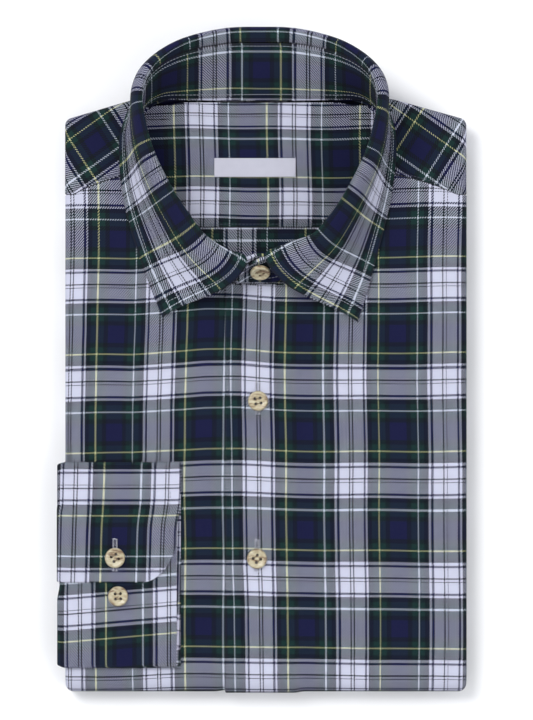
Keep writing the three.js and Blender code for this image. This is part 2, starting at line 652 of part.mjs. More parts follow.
function slabGeometry(layer) {
  const radius = (layer.top - layer.bottom) / 2;
  const shoulder = [[110.9, 155.6, 0], [110.9, 155.6, 74], [72.9, 166.5, 74], [72.9, 166.5, 90]];
  const back = [[layer.sideX, layer.backY, 0], [layer.sideX, layer.backY, 45], [layer.sideX, layer.backY, 90]];
  const upper = layer.backY === null ? shoulder : back;
  const half = [
    [layer.foldX, layer.foldY, -90],
    [layer.foldX, layer.foldY, -45],
    [layer.sideX, layer.foldY + 10, 0],
    ...upper,
  ];
  const mirrored = half.map(([x, y, turn]) => [-x, y, 180 - turn]).reverse();
  const outline = [...half, ...mirrored];
  const rings = evenSteps(-Math.PI / 2, Math.PI / 2, 6).map((tilt) => {
    const reach = Math.max(0.01, radius * Math.cos(tilt) - layerInset);
    const z = (layer.top + layer.bottom) / 2 + radius * Math.sin(tilt);
    return outline.map(([x, y, turn]) => vector(
      x + reach * Math.cos(radians(turn)), y + reach * Math.sin(radians(turn)), z));
  });
  return ringGeometry(rings);
}

function makeHiddenLayers() {
  const joined = hiddenLayers.map((layer) => toManifold(slabGeometry(layer))).reduce((sum, slab) => sum.add(slab));
  const recess = new THREE.BoxGeometry(2 * innerHalfX + 6, 116, 6);
  recess.translate(neckCentreX, backPanelEndY - 3 + 58, innerTopZ - clothWall - 0.3 + 3);
  addMesh('folded_layers', fromManifold(joined.subtract(toManifold(recess))), colours.hidden, 0.95);
}

// Four-hole buttons, turned from one profile
function buttonGeometry() {
  const { radius, thick } = button;
  const profile = [
    [0, 0], [0.8 * radius, 0], [0.97 * radius, 0.3 * thick], [radius, 0.55 * thick],
    [0.93 * radius, 0.88 * thick], [0.82 * radius, thick], [0.66 * radius, 0.86 * thick],
    [0.5 * radius, 0.78 * thick], [0, 0.78 * thick],
  ].map(([x, y]) => new THREE.Vector2(x, y));
  const disc = new THREE.LatheGeometry(profile, 18);
  disc.rotateX(Math.PI / 2);
  const holes = [[1, 1], [-1, 1], [-1, -1], [1, -1]].map(([x, y]) => {
    const hole = new THREE.CylinderGeometry(button.holeRadius, button.holeRadius, 3 * thick, 6);
    hole.rotateX(Math.PI / 2);
    hole.translate(x * button.holeOffset, y * button.holeOffset, thick / 2);
    return toManifold(hole);
  });
  return fromManifold(holes.reduce((solid, hole) => solid.subtract(hole), toManifold(disc)));
}

function makeButtons() {
  buttonPlaces.forEach(({ name, at, tilt, turn }) => {
    const geometry = buttonGeometry();
    geometry.rotateZ(radians(turn));
    geometry.rotateX(radians(tilt));
    geometry.translate(...at);
    addMesh(name, geometry, colours.horn, 0.4);
  });
}

makeHiddenLayers();
makeFronts();
makeOuterYoke();
makeInside();
makeCollar();
makeCuff();
makeSleeve();
makeButtons();

export default group;
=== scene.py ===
import math

import bpy
import numpy as np
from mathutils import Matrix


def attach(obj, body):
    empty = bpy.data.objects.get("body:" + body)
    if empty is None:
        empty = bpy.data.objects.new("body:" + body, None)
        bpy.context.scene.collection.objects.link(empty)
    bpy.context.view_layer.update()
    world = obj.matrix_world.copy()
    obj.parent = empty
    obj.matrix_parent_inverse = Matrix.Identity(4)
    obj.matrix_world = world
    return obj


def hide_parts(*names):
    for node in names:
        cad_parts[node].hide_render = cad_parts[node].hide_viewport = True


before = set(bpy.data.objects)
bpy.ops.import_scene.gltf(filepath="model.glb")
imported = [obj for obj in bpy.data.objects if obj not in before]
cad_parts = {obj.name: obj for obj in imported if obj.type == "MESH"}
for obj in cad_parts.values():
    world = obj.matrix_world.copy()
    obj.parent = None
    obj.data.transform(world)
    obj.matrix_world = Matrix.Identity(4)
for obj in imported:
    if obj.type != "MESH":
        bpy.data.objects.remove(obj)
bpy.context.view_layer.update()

# Lengths are millimetres until a mesh is made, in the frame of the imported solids: x to the wearer's
# left, y from the hem fold to the collar, z up from the surface that the shirt rests on.
MM = 0.001

# Camera: straight above the shirt
CAMERA_HEIGHT = 2400
VIEW_CENTRE = (0.3, 20.7)
VIEW_WIDTH = 306.5
VIEW_LEVEL = 20
SENSOR = 36
IMAGE_WIDTH = 533
IMAGE_HEIGHT = 720
CLIP_END = 20

camera_data = bpy.data.cameras.new("camera")
camera_data.sensor_fit = "VERTICAL"
camera_data.sensor_height = SENSOR
camera_data.lens = SENSOR * (CAMERA_HEIGHT - VIEW_LEVEL) / (VIEW_WIDTH * IMAGE_HEIGHT / IMAGE_WIDTH)
camera_data.clip_end = CLIP_END
camera = bpy.data.objects.new("camera", camera_data)
camera.location = (VIEW_CENTRE[0] * MM, VIEW_CENTRE[1] * MM, CAMERA_HEIGHT * MM)
bpy.context.scene.collection.objects.link(camera)
bpy.context.scene.camera = camera

# Folded body, as the solids have it
HALF_WIDTH = 115.6
STACK = 20
FOLD_RADIUS = STACK / 2
FOLD_LINE_Y = -160.6
CREASE_HALF_GAP = 0.6
ROLL_RADIUS = (FOLD_RADIUS - CREASE_HALF_GAP) / 2
ROLL_X = HALF_WIDTH - ROLL_RADIUS
TUCK = 6
HEM_Y = 143
CLOTH = 1.2
SEAM_GAP = 0.35
LAP_RISE = CLOTH + 0.3
UPPER_LAP_X = -23.5
UNDER_LAP_X = 16
LAP_SLOPE = 6
LAP_NECK_Y = 64.3
UNDER_NECK_Y = 66.2
NECK_X = -3.4
NECK_POINT_X = 67.3
INNER_Z = 17.5
INNER_RISE = 1.7
INNER_SEAM_Y = 97.3
INNER_BACK_Y = 168.9
INNER_HALF_X = 76
PANEL_END_Y = 56
STAND_WALL = 2
LEAF_WALL = 1.8
LEAF_FOLD = 2.3

# The check: 170 steps a repeat, the same chart in warp and weft but for the order of its two fine
# lines. It is woven as a 2/2 twill of finer ends and coarser picks than its steps.
END_PITCH = 0.316
PICK_PITCH = 0.334
REPEAT = 170
END_WIDTH = 0.365
PICK_WIDTH = 0.440
THREAD_WANDER = 0.04
# Height on a yarn's rounded profile below which, towards its edges, the yarn takes the dimmer of the two
# crossing colours: painted shade where it dives under
YARN_SHADE_EDGE = 0.62
CHART = (
    ("white", 4), ("navy", 4), ("white", 18), ("black", 2), ("white", 4), ("black", 2), ("white", 18),
    ("navy", 4), ("white", 4), ("black", 8), ("green", 11), ("first line", 3), ("green", 10),
    ("black", 8), ("navy", 30), ("black", 8), ("green", 11), ("second line", 3), ("green", 10),
    ("black", 8),
)
YARNS = {
    "white": (0.50, 0.51, 0.62),
    "navy": (0.0045, 0.0055, 0.036),
    "black": (0.003, 0.005, 0.009),
    "green": (0.005, 0.022, 0.020),
    "yellow": (0.47, 0.48, 0.24),
    "light blue": (0.48, 0.54, 0.60),
}

# Collar sections, one side, from the back of the neck round to the front end of the leaf, as in the
# solids. Distances x are from the neck's centre line.
COLLAR_COLUMNS = ("seam", "top", "edge", "lift", "heading", "flare", "reach", "trim", "drop", "close",
                  "rise", "lap")
COLLAR = [dict(zip(COLLAR_COLUMNS, row)) for row in (
    ((0.0, 169.4, 19.8), (0.0, 201.6, 35.0), (0.0, 185.1, 4.5), 6.8, 0, 122, 14, 0, 0, 0, 0, 0),
    ((19.6, 169.4, 19.8), (19.4, 201.0, 36.0), (20.3, 185.1, 4.5), 6.6, 3, 122, 14, 0, 0, 0, 0, 0),
    ((40.3, 169.7, 20.2), (39.8, 196.6, 42.0), (41.7, 184.5, 5.0), 6.0, 15, 120, 14, 0, 0, 0, 0, 0),
    ((54.1, 170.0, 20.7), (52.5, 191.0, 47.0), (56.1, 181.4, 7.5), 5.2, 32, 112, 13, 0, 0, 0, 0, 0),
    ((62.1, 167.9, 21.1), (61.3, 183.9, 50.0), (66.4, 177.6, 12.0), 4.0, 52, 100, 12, 0, 0, 0, 0, 0),
    ((67.3, 163.3, 21.3), (65.4, 176.2, 51.3), (71.7, 174.6, 17.5), 3.0, 74, 85, 10, 0, 0, 0, 0, 0),
    ((69.9, 155.8, 20.9), (66.8, 167.1, 51.8), (75.3, 166.6, 22.3), 2.5, 90, 65, 9, 1.2, 0, 0, 0, 0),
    ((70.1, 143.2, 20.5), (64.4, 152.4, 51.0), (80.7, 150.5, 22.3), 2.5, 102, 45, 10, 2.4, 0, 0, 0, 0),
    ((67.3, 129.9, 20.5), (61.0, 139.9, 50.0), (81.2, 135.6, 22.3), 2.5, 102, 38, 12, 2.8, 0, 0, 0, 0),
    ((62.4, 117.3, 20.5), (56.2, 128.6, 49.0), (80.1, 120.1, 22.3), 2.5, 111, 32, 14, 3.4, 0, 0, 0, 0),
    ((55.2, 105.2, 20.5), (49.2, 115.6, 47.5), (77.3, 105.7, 22.3), 2.5, 111, 26, 16, 3.4, 0, 0, 0, 0),
    ((46.0, 94.3, 20.5), (40.9, 103.2, 45.6), (73.5, 91.9, 22.3), 2.5, 109, 20, 18, 3.0, 0, 0, 0, 0),
    ((35.6, 83.9, 20.5), (32.1, 91.8, 43.8), (68.6, 77.0, 22.3), 2.5, 112, 16, 20, 2.2, 0.6, 0.8, 0.6, 0),
    ((24.7, 75.0, 20.5), (22.0, 84.3, 42.0), (62.9, 61.5, 22.3), 2.5, 117, 12, 22, 1.0, 1.8, 0.9, 3.0, 0.9),
    ((13.8, 69.4, 20.5), (10.6, 79.6, 38.6), (56.3, 45.0, 22.3), 2.5, 127, 10, 24, 0, 2.6, 4.4, 2.0, 2.4),
)]
STAND_UNDER_END = [
    {"seam": (8, 70.1, 20.5), "top": (7, 80.4, 33.5)},
    {"seam": (-5, 70.1, 20.5), "top": (-5, 82.0, 36.0)},
]
STAND_UPPER_END = [
    {"seam": (-6, 66.6, 22.2), "top": (-6.5, 78.0, 36.6)},
    {"seam": (-16, 66.4, 22.2), "top": (-15.5, 73.0, 30.5)},
]

# Shoulder stations of the outer yoke, one side: the edge roll's centre, the way it faces in degrees
# from +x, and the inner edge
YOKE_STATIONS = (
    ((110.9, 116.0), 0, (110.5, 116.1)),
    ((110.9, 128.0), 0, (104.5, 118.9)),
    ((110.9, 142.0), 0, (99.0, 121.2)),
    ((110.9, 155.6), 0, (93.0, 123.2)),
    ((110.9, 155.6), 37, (89.5, 124.3)),
    ((110.9, 155.6), 74, (86.0, 125.3)),
    ((99.0, 159.0), 74, (79.0, 127.2)),
    ((88.0, 162.2), 74, (73.0, 128.8)),
    ((80.0, 164.5), 74, (67.8, 130.4)),
    ((76.5, 165.5), 76, (70.2, 143.2)),
    ((72.5, 166.5), 84, (70.2, 155.8)),
    ((67.5, 166.6), 90, (67.0, 161.6)),
    ((62.0, 166.6), 90, (61.0, 167.2)),
    ((54.0, 166.6), 90, (54.0, 171.0)),
    ((40.0, 166.6), 90, (40.0, 171.0)),
    ((20.0, 166.6), 90, (20.0, 171.0)),
    ((0.0, 166.6), 90, (0.0, 171.0)),
)
FORWARD_STATIONS = 9
NECK_POINT_ROW = 8

# Right cuff
CUFF_TOP_Y = -38
CUFF_BOTTOM_Y = -156.3
CUFF_FREE_X = -49
CUFF_WALL = 1.5
CUFF_GAP = 0.3
CUFF_LAP_Y = -107
CUFF_CORNER_X = -70.2
CUFF_CORNER_Y = -77
CUFF_SLANT = 2.2
CUFF_UNDER_Y = -72
CUFF_NARROWING = 0.012
CUFF_BEND = math.radians(72)
PLY_STEP = CUFF_WALL + CUFF_GAP
TUBE_RADIUS = (PLY_STEP + CUFF_WALL) / 2
LOW_LEVEL = CUFF_GAP
MID_LEVEL = 2 * PLY_STEP
TOP_LEVEL = 3 * PLY_STEP
SLEEVE_INNER = ROLL_RADIUS + 0.3
SLEEVE_OUTER = ROLL_RADIUS + 3.6
SLEEVE_WALL = 1.2
SLEEVE_PUFF = 0.12
SLEEVE_START = math.radians(77)
SLEEVE_END = math.radians(150)

# Where the check falls on each piece: thread numbers of the chart against millimetres of the piece
CUFF_THREAD = 30
CUFF_UPPER_X = -108.7
CUFF_UPPER_Y = -51.4
CUFF_UPPER_END = 0.302
CUFF_UPPER_PICK = 0.338
CUFF_LEAN = 0.026
CUFF_UNDER_X = -106.84
CUFF_UNDER_CHECK_Y = -122.2
CUFF_UNDER_END = 0.312
CUFF_UNDER_SLANT = 0.083
CUFF_UNDER_ROWS = 46
LEFT_FRONT_WARP = ((-3.6, 30), (49.8, 200), (103.8, 370))
RIGHT_FRONT_WARP = ((-112.4, -140), (-60.9, 30), (-9.6, 200))
FRONT_WEFT = ((118.0, -480), (63.6, -310), (8.2, -140), (-48.5, 30), (-105.2, 200), (-161.9, 370))
INNER_YOKE_WARP = ((-36.8, 30), (16.7, -140))
INNER_YOKE_WEFT = ((161.7, 30), (148.5, 80), (126.0, 150), (111.1, 200))
BACK_PANEL_WARP = ((-15.0, 30), (38.7, -140))
BACK_PANEL_WEFT = ((89.8, 80), (66.4, 150))
STAND_WARP_CENTRE = 118
STAND_END_SHIFT = 89
STAND_WEFT_EASE = 1.03
STAND_HOLLOW = 0.3
STAND_TOP_WEFT = ((0, 48), (4, 52), (9, 66))
# Along the leaf: the warp thread that crosses its fold at a row of the collar table, counted from the
# wearer's right end. Out from the fold: the weft threads at the fold and at the free edge.
LEAF_WARP = ((0, -536), (1.3, -480), (2.6, -430), (4.1, -360), (5.1, -310), (6.5, -260), (8.0, -190),
             (9.4, -140), (10.6, -90), (12.0, -20), (12.7, 30), (14.0, 121), (15.4, 200), (16.2, 250),
             (17.5, 320), (18.7, 370), (20.2, 420), (21.8, 490), (23.1, 540), (24.2, 590), (25.7, 660),
             (27.0, 710), (28.0, 766))
LEAF_FOLD_WEFT = ((0, 62), (1, 74), (2, 80), (14, 80))
LEAF_EDGE_WEFT = ((0, 273), (2, 267), (9, 267))
LEAF_FOLD_STEP = 6
LEAF_FOLD_STRETCH = 5.5
LEAF_EARLY = math.radians(30)
LEAF_END_REACH = 3.4
# How far the warp threads lean towards the front at the leaf's edge, in threads
LEAF_LEAN = ((0, 0), (1.3, 8), (2.6, 24), (4, 27), (8, 27), (11, 12), (14, 0))

# How far the lines of the check lie off true on the fronts: a row for each height, across and down at
# each place
LEFT_WANDER = {"x": (-15, 5, 45, 85), "rows": (
    (38, (-0.2, -0.6, -1.0, -1.1), (-2.5, -1.3, -0.4, -0.4)),
    (-8, (-0.9, -1.1, -1.1, -0.7), (-1.8, -1.0, -0.2, 0.0)),
    (-53, (-0.4, -0.7, -1.2, -1.1), (-1.2, -0.6, -0.3, 0.3)),
    (-99, (-0.4, -0.6, -0.9, -0.5), (-1.0, -0.3, -0.3, 0.9)),
    (-122, (1.0, 0.3, -0.3, -0.3), (-1.0, -0.2, -0.3, 1.1)),
    (-145, (1.7, 1.1, 0.5, 0.2), (-1.3, -0.9, -0.9, 0.4)),
)}
RIGHT_WANDER = {"x": (-97, -77, -55, -35, -25), "rows": (
    (38, (0.6, 1.2, 1.0, 0.9, 1.6), (0.4, 0.6, -1.1, -2.5, -2.5)),
    (15, (-0.3, 0.1, 0.1, 0.1, 0.9), (0.6, 1.1, -0.6, -1.9, -1.9)),
    (-8, (-0.9, -0.8, -1.0, -0.8, 0.0), (0.9, 1.3, -0.3, -1.6, -1.6)),
    (-53, (-0.9, -0.9, -1.2, -1.4, -0.6), (0.6, 0.7, -0.4, -1.3, -1.3)),
    (-99, (-0.8, -0.8, -1.0, -1.2, -0.4), (0.5, 0.5, -0.3, -1.0, -1.0)),
    (-145, (-0.6, -0.6, -0.5, -0.5, 0.3), (0.4, 0.2, -0.6, -1.1, -1.1)),
)}

# Soft creases: start, end, half width and height, all in millimetres
CREASES = (
    ((60, 60), (96, 6), 9, 0.50),
    ((30, 30), (52, -66), 12, -0.45),
    ((84, -20), (70, -140), 14, 0.45),
    ((100, 90), (104, -60), 7, -0.35),
    ((4, -30), (12, -84), 9, -0.30),
    ((40, -90), (96, -120), 13, -0.40),
    ((-40, 40), (-58, -28), 11, 0.45),
    ((-84, 70), (-96, 0), 10, -0.40),
    ((-60, 96), (-100, 52), 9, 0.35),
    ((-34, -10), (-40, -120), 9, -0.35),
    ((-14, 48), (-18, -40), 4, 0.20),
    ((-6, -110), (20, -152), 10, 0.30),
)
CREASE_BOW = 0.03
CREASE_OVERRUN = 0.15
CREASE_FADE = 0.45
# Fine ripples over the body: height, wave, how much the crests bend and over what distance
RIPPLE_ACROSS = (0.10, 17, 1.3, 41)
RIPPLE_DOWN = (0.08, 23, 1.1, 37)
# Small drift of the threads: a slow wave as size, wave and phase, a quick one as size, wave and slant
DRIFT_ACROSS = ((0.35, 31, 0.8), (0.22, 13, 60))
DRIFT_DOWN = ((0.35, 27, 0.4), (0.25, 11, 50))

BUTTONS = (
    ("button_front_1", (-4.6, -2.8, 21.8), 0, 10),
    ("button_front_2", (-5.2, -93.5, 21.8), 0, 38),
    ("button_cuff_1", (-86.6, -92.8, 25.8), 0, 30),
    ("button_cuff_2", (-84.9, -114.9, 24.0), 0, 4),
    ("button_collar", (-3.3, 71.6, 32.9), 50, 40),
)
BUTTON_RADIUS = 5.75
BUTTON_THICK = 2.6
HOLE_RADIUS = 0.85
HOLE_OFFSET = 1.5


# Small helpers

def smooth(value):
    t = np.clip(value, 0, 1)
    return t * t * (3 - 2 * t)


def straight_table(rows, value):
    """Value read off a table of (place, reading) rows by straight lines, carried on past both ends."""
    places, readings = np.array(sorted(rows), dtype=float).T
    value = np.asarray(value, dtype=float)
    inside = np.interp(value, places, readings)
    first = (readings[1] - readings[0]) / (places[1] - places[0])
    last = (readings[-1] - readings[-2]) / (places[-1] - places[-2])
    inside = np.where(value < places[0], readings[0] + (value - places[0]) * first, inside)
    return np.where(value > places[-1], readings[-1] + (value - places[-1]) * last, inside)


def joined_steps(*stretches):
    """One run of values from stretches of (from, to, count), without doubles where they meet."""
    parts = [np.linspace(a, b, count + 1)[0 if k == 0 else 1:] for k, (a, b, count) in enumerate(stretches)]
    return np.concatenate(parts)


def table_value(rows, row, key):
    """Smooth value of one column of a table of rows, at a fractional row."""
    last = len(rows) - 1
    k = min(int(row), last - 1)
    t = row - k

    def near(index):
        return np.array(rows[min(max(index, 0), last)][key], dtype=float)

    before = near(k - 1) if k > 0 else 2 * near(0) - near(1)
    after = near(k + 2) if k + 2 <= last else 2 * near(last) - near(last - 1)
    a, b, c, d = before, near(k), near(k + 1), after
    straight = 2 * b + (c - a) * t
    square = (2 * a - 5 * b + 4 * c - d) * t ** 2
    cube = (3 * b - a - 3 * c + d) * t ** 3
    return 0.5 * (straight + square + cube)


def unit(vectors):
    return vectors / np.maximum(np.linalg.norm(vectors, axis=-1, keepdims=True), 1e-9)


def grid_normals(grid):
    return unit(np.cross(np.gradient(grid, axis=0), np.gradient(grid, axis=1)))


def ripple(setting, along, beside):
    height, wave, bend, over = setting
    return height * np.sin(along / wave + bend * np.sin(beside / over))


def relief(x, y):
    """Height of the soft creases over the folded body."""
    total = np.zeros(np.broadcast(x, y).shape)
    for (ax, ay), (bx, by), width, height in CREASES:
        along_x, along_y = bx - ax, by - ay
        length = math.hypot(along_x, along_y)
        share = ((x - ax) * along_x + (y - ay) * along_y) / length ** 2
        away = ((x - ax) * along_y - (y - ay) * along_x) / length
        bend = away + CREASE_BOW * length * np.sin(math.pi * share)
        start = smooth((share + CREASE_OVERRUN) / CREASE_FADE)
        ends = start * smooth((1 + CREASE_OVERRUN - share) / CREASE_FADE)
        total += height * np.exp(-((bend / width) ** 2)) * ends
    return total + ripple(RIPPLE_ACROSS, x, y) + ripple(RIPPLE_DOWN, y, x)


def two_waves(settings, along, beside):
    (slow_size, slow_wave, phase), (quick_size, quick_wave, slant) = settings
    slow = slow_size * np.sin(along / slow_wave + phase)
    return slow + quick_size * np.sin(along / quick_wave + beside / slant)


def drift(x, y):
    """Small wander of the threads across a panel, as they lie in handled cloth."""
    return two_waves(DRIFT_ACROSS, y, x), two_waves(DRIFT_DOWN, x, y)


def wander(table, x, y):
    """How far the lines of the check lie off true on a front: across and down, in millimetres."""
    places = np.array(table["x"], dtype=float)
    rows = sorted(table["rows"])
    levels = [row[0] for row in rows]
    across, down = np.zeros(x.shape), np.zeros(x.shape)
    for column in range(len(places)):
        near = np.interp(x, places, np.eye(len(places))[column])
        across += near * np.interp(y, levels, [row[1][column] for row in rows])
        down += near * np.interp(y, levels, [row[2][column] for row in rows])
    return across, down


# Meshes

RIM_TURNS = (math.pi / 4, math.pi / 2, 3 * math.pi / 4)
RIM_WORN = 0.6


def make_mesh(name, points, faces, cloth=None, edge=None):
    """A closed mesh with its faces outward, its cloth coordinates and how worn each point is."""
    mesh = bpy.data.meshes.new(name)
    corners = np.array(points, dtype=float)
    fan = np.array([(face[0], face[k], face[k + 1]) for face in faces for k in range(1, len(face) - 1)])
    a, b, c = corners[fan[:, 0]], corners[fan[:, 1]], corners[fan[:, 2]]
    volume = np.einsum("ij,ij->i", a, np.cross(b, c)).sum()
    if volume < 0:
        faces = [tuple(reversed(face)) for face in faces]
    mesh.from_pydata((corners * MM).tolist(), [], [tuple(int(corner) for corner in face) for face in faces])
    if cloth is not None:
        layer = mesh.uv_layers.new(name="cloth")
        index = np.empty(len(mesh.loops), dtype=np.int32)
        mesh.loops.foreach_get("vertex_index", index)
        layer.data.foreach_set("uv", (np.array(cloth, dtype=float) * MM)[index].astype(np.float32).ravel())
    if edge is not None:
        worn = mesh.attributes.new("worn", "FLOAT", "POINT")
        worn.data.foreach_set("value", np.array(edge, dtype=np.float32))
    mesh.shade_smooth()
    mesh.update()
    piece = bpy.data.objects.new(name, mesh)
    bpy.context.scene.collection.objects.link(piece)
    return piece


def cloth_wall(name, face, cloth, thickness, rounding=0.45):
    """A closed cloth wall with rounded edges. A positive thickness goes along the grid's own normal."""
    across, along = face.shape[:2]
    normal = grid_normals(face)
    face = face.copy()
    back = face + normal * thickness
    wall = abs(thickness)
    rim = [(i, 0) for i in range(across)]
    rim += [(across - 1, j) for j in range(1, along)]
    rim += [(i, along - 1) for i in range(across - 2, -1, -1)]
    rim += [(0, j) for j in range(along - 2, 0, -1)]
    i, j = np.array(rim).T
    inner_i = np.clip(i, 1, across - 2)
    inner_j = np.clip(j, 1, along - 2)
    inward = face[inner_i, inner_j] - face[i, j]
    length = np.linalg.norm(inward, axis=1, keepdims=True)
    pull = np.minimum(rounding * wall, 0.5 * length)
    inward = unit(inward)
    face[i, j] += inward * pull
    back[i, j] += inward * pull
    middle = (face[i, j] + back[i, j]) / 2
    up = (face[i, j] - back[i, j]) / 2
    rings = []
    for turn in RIM_TURNS:
        rings.append(middle - inward * pull * math.sin(turn) + up * math.cos(turn))
    count = across * along
    points = np.concatenate([face.reshape(-1, 3), back.reshape(-1, 3), *rings])
    flat = cloth.reshape(-1, 2)
    rim_cloth = cloth[i, j]
    uv = np.concatenate([flat, flat, rim_cloth, rim_cloth, rim_cloth])
    worn = np.zeros(len(points))
    worn[2 * count:] = 1
    cell = (np.arange(across - 1)[:, None] * along + np.arange(along - 1)[None, :]).ravel()
    front_quads = np.stack([cell, cell + along, cell + along + 1, cell + 1], axis=1)
    back_quads = np.stack([cell, cell + 1, cell + along + 1, cell + along], axis=1) + count
    edge = i * along + j
    worn[edge] = RIM_WORN
    loops = [edge] + [2 * count + k * len(rim) + np.arange(len(rim)) for k in range(3)] + [edge + count]
    rim_quads = []
    for outer, inner in zip(loops, loops[1:]):
        rim_quads.append(np.stack([outer, inner, np.roll(inner, -1), np.roll(outer, -1)], axis=1))
    quads = np.concatenate([front_quads, back_quads, *rim_quads])
    return make_mesh(name, points, [tuple(q) for q in quads.tolist()], uv, worn)


def ring_solid(name, rings, cloth_rings):
    """A solid skinned over closed rings, with a fan on each end."""
    size = len(rings[0])
    points = np.concatenate(rings)
    cloth = np.concatenate(cloth_rings)
    faces = []
    for r in range(len(rings) - 1):
        for k in range(size):
            step = (k + 1) % size
            faces.append((r * size + k, r * size + step, (r + 1) * size + step, (r + 1) * size + k))
    faces.append(tuple(range(size))[::-1])
    faces.append(tuple((len(rings) - 1) * size + k for k in range(size)))
    return make_mesh(name, points, faces, cloth)


def grid_point(grid, i, j):
    """Point of a grid at a fractional column and row."""
    i = min(max(i, 0), grid.shape[0] - 1.0001)
    j = min(max(j, 0), grid.shape[1] - 1.0001)
    a, b = int(i), int(j)
    s, t = i - a, j - b
    near = grid[a, b] * (1 - t) + grid[a, b + 1] * t
    far = grid[a + 1, b] * (1 - t) + grid[a + 1, b + 1] * t
    return near * (1 - s) + far * s


def place_at(line, distance, from_end=False):
    """Fractional index of the point at a distance along a line of points."""
    lengths = np.concatenate([[0], np.cumsum(np.linalg.norm(np.diff(line, axis=0), axis=1))])
    wanted = lengths[-1] - distance if from_end else distance
    return float(np.interp(wanted, lengths, np.arange(len(line))))


# Shader maths

class Wire:
    """One output of a node, with arithmetic."""

    def __init__(self, book, socket):
        self.book = book
        self.socket = socket

    def beside(self, output):
        """Another output of the same node."""
        return Wire(self.book, self.socket.node.outputs[output])

    def __add__(self, other):
        return self.book.maths("ADD", self, other)

    def __radd__(self, other):
        return self.book.maths("ADD", other, self)

    def __sub__(self, other):
        return self.book.maths("SUBTRACT", self, other)

    def __rsub__(self, other):
        return self.book.maths("SUBTRACT", other, self)

    def __mul__(self, other):
        return self.book.maths("MULTIPLY", self, other)

    def __rmul__(self, other):
        return self.book.maths("MULTIPLY", other, self)

    def __truediv__(self, other):
        return self.book.maths("DIVIDE", self, other)


class Book:
    """A node tree being built: one method adds any node and returns one of its outputs."""

    def __init__(self, tree):
        self.tree = tree

    def node(self, kind, settings=None, sockets=None, output=0):
        made = self.tree.nodes.new(kind)
        for key, value in (settings or {}).items():
            if key.endswith("stops"):
                self.set_stops(made.color_ramp, value, key == "blended stops")
            else:
                setattr(made, key, value)
        for key, value in (sockets or {}).items():
            if isinstance(value, Wire):
                self.tree.links.new(value.socket, made.inputs[key])
            else:
                made.inputs[key].default_value = value
        return Wire(self, made.outputs[output]) if len(made.outputs) else None

    def set_stops(self, ramp, stops, blended):
        while len(ramp.elements) < len(stops):
            ramp.elements.new(0.5)
        for element, (place, colour) in zip(ramp.elements, stops):
            element.position = place
            element.color = (*colour, 1)
        ramp.interpolation = "LINEAR" if blended else "CONSTANT"


class Finish(Book):
    """A material being built."""

    def __init__(self, name):
        self.material = bpy.data.materials.new(name)
        self.material.use_nodes = True
        super().__init__(self.material.node_tree)
        self.tree.nodes.clear()

    def maths(self, operation, first, second=0.0):
        return self.node("ShaderNodeMath", {"operation": operation}, {0: first, 1: second})

    def mix(self, factor, first, second, blend="MIX"):
        first, second = (shade if isinstance(shade, Wire) else (*shade, 1) for shade in (first, second))
        return self.node("ShaderNodeMix", {"data_type": "RGBA", "blend_type": blend},
                         {0: factor, 6: first, 7: second}, 2)

    def charted(self, stops, place):
        return self.node("ShaderNodeValToRGB", {"plain stops": stops}, {0: place})

    def scaled(self, colour, factor):
        return self.node("ShaderNodeVectorMath", {"operation": "SCALE"}, {0: colour, "Scale": factor})

    def bump(self, height, strength, distance):
        return self.node("ShaderNodeBump", None, {
            "Height": height, "Strength": strength, "Distance": distance * MM})

    def coordinates(self):
        return self.node("ShaderNodeTexCoord", output="Object")

    def cloth_place(self):
        """The cloth coordinates, along the warp and along the weft, in metres."""
        cloth = self.node("ShaderNodeUVMap", {"uv_map": "cloth"})
        parts = self.node("ShaderNodeSeparateXYZ", None, {0: cloth})
        return parts, parts.beside(1)

    def noise(self, where, scale, detail=2.0, roughness=0.5):
        return self.node("ShaderNodeTexNoise", None, {
            "Vector": where, "Scale": scale, "Detail": detail, "Roughness": roughness})

    def finish(self, sockets):
        shader = self.node("ShaderNodeBsdfPrincipled", None, sockets)
        self.node("ShaderNodeOutputMaterial", None, {"Surface": shader})
        return self.material


def chart_stops(first_line, second_line):
    stops, thread = [], 0
    for yarn, count in CHART:
        shade = {"first line": first_line, "second line": second_line}.get(yarn, yarn)
        stops.append((thread / REPEAT, YARNS[shade]))
        thread += count
    return stops


# How often the brushed surface varies, in waves a metre, and the colours of its fuzz and its worn edges
NAP_SCALES = (5200.0, 4100.0)
FUZZ_SCALE = 1500.0
MOTTLE_SCALE = 60.0
FIBRE = (0.45, 0.46, 0.52)
RUBBED = (0.5, 0.5, 0.55)


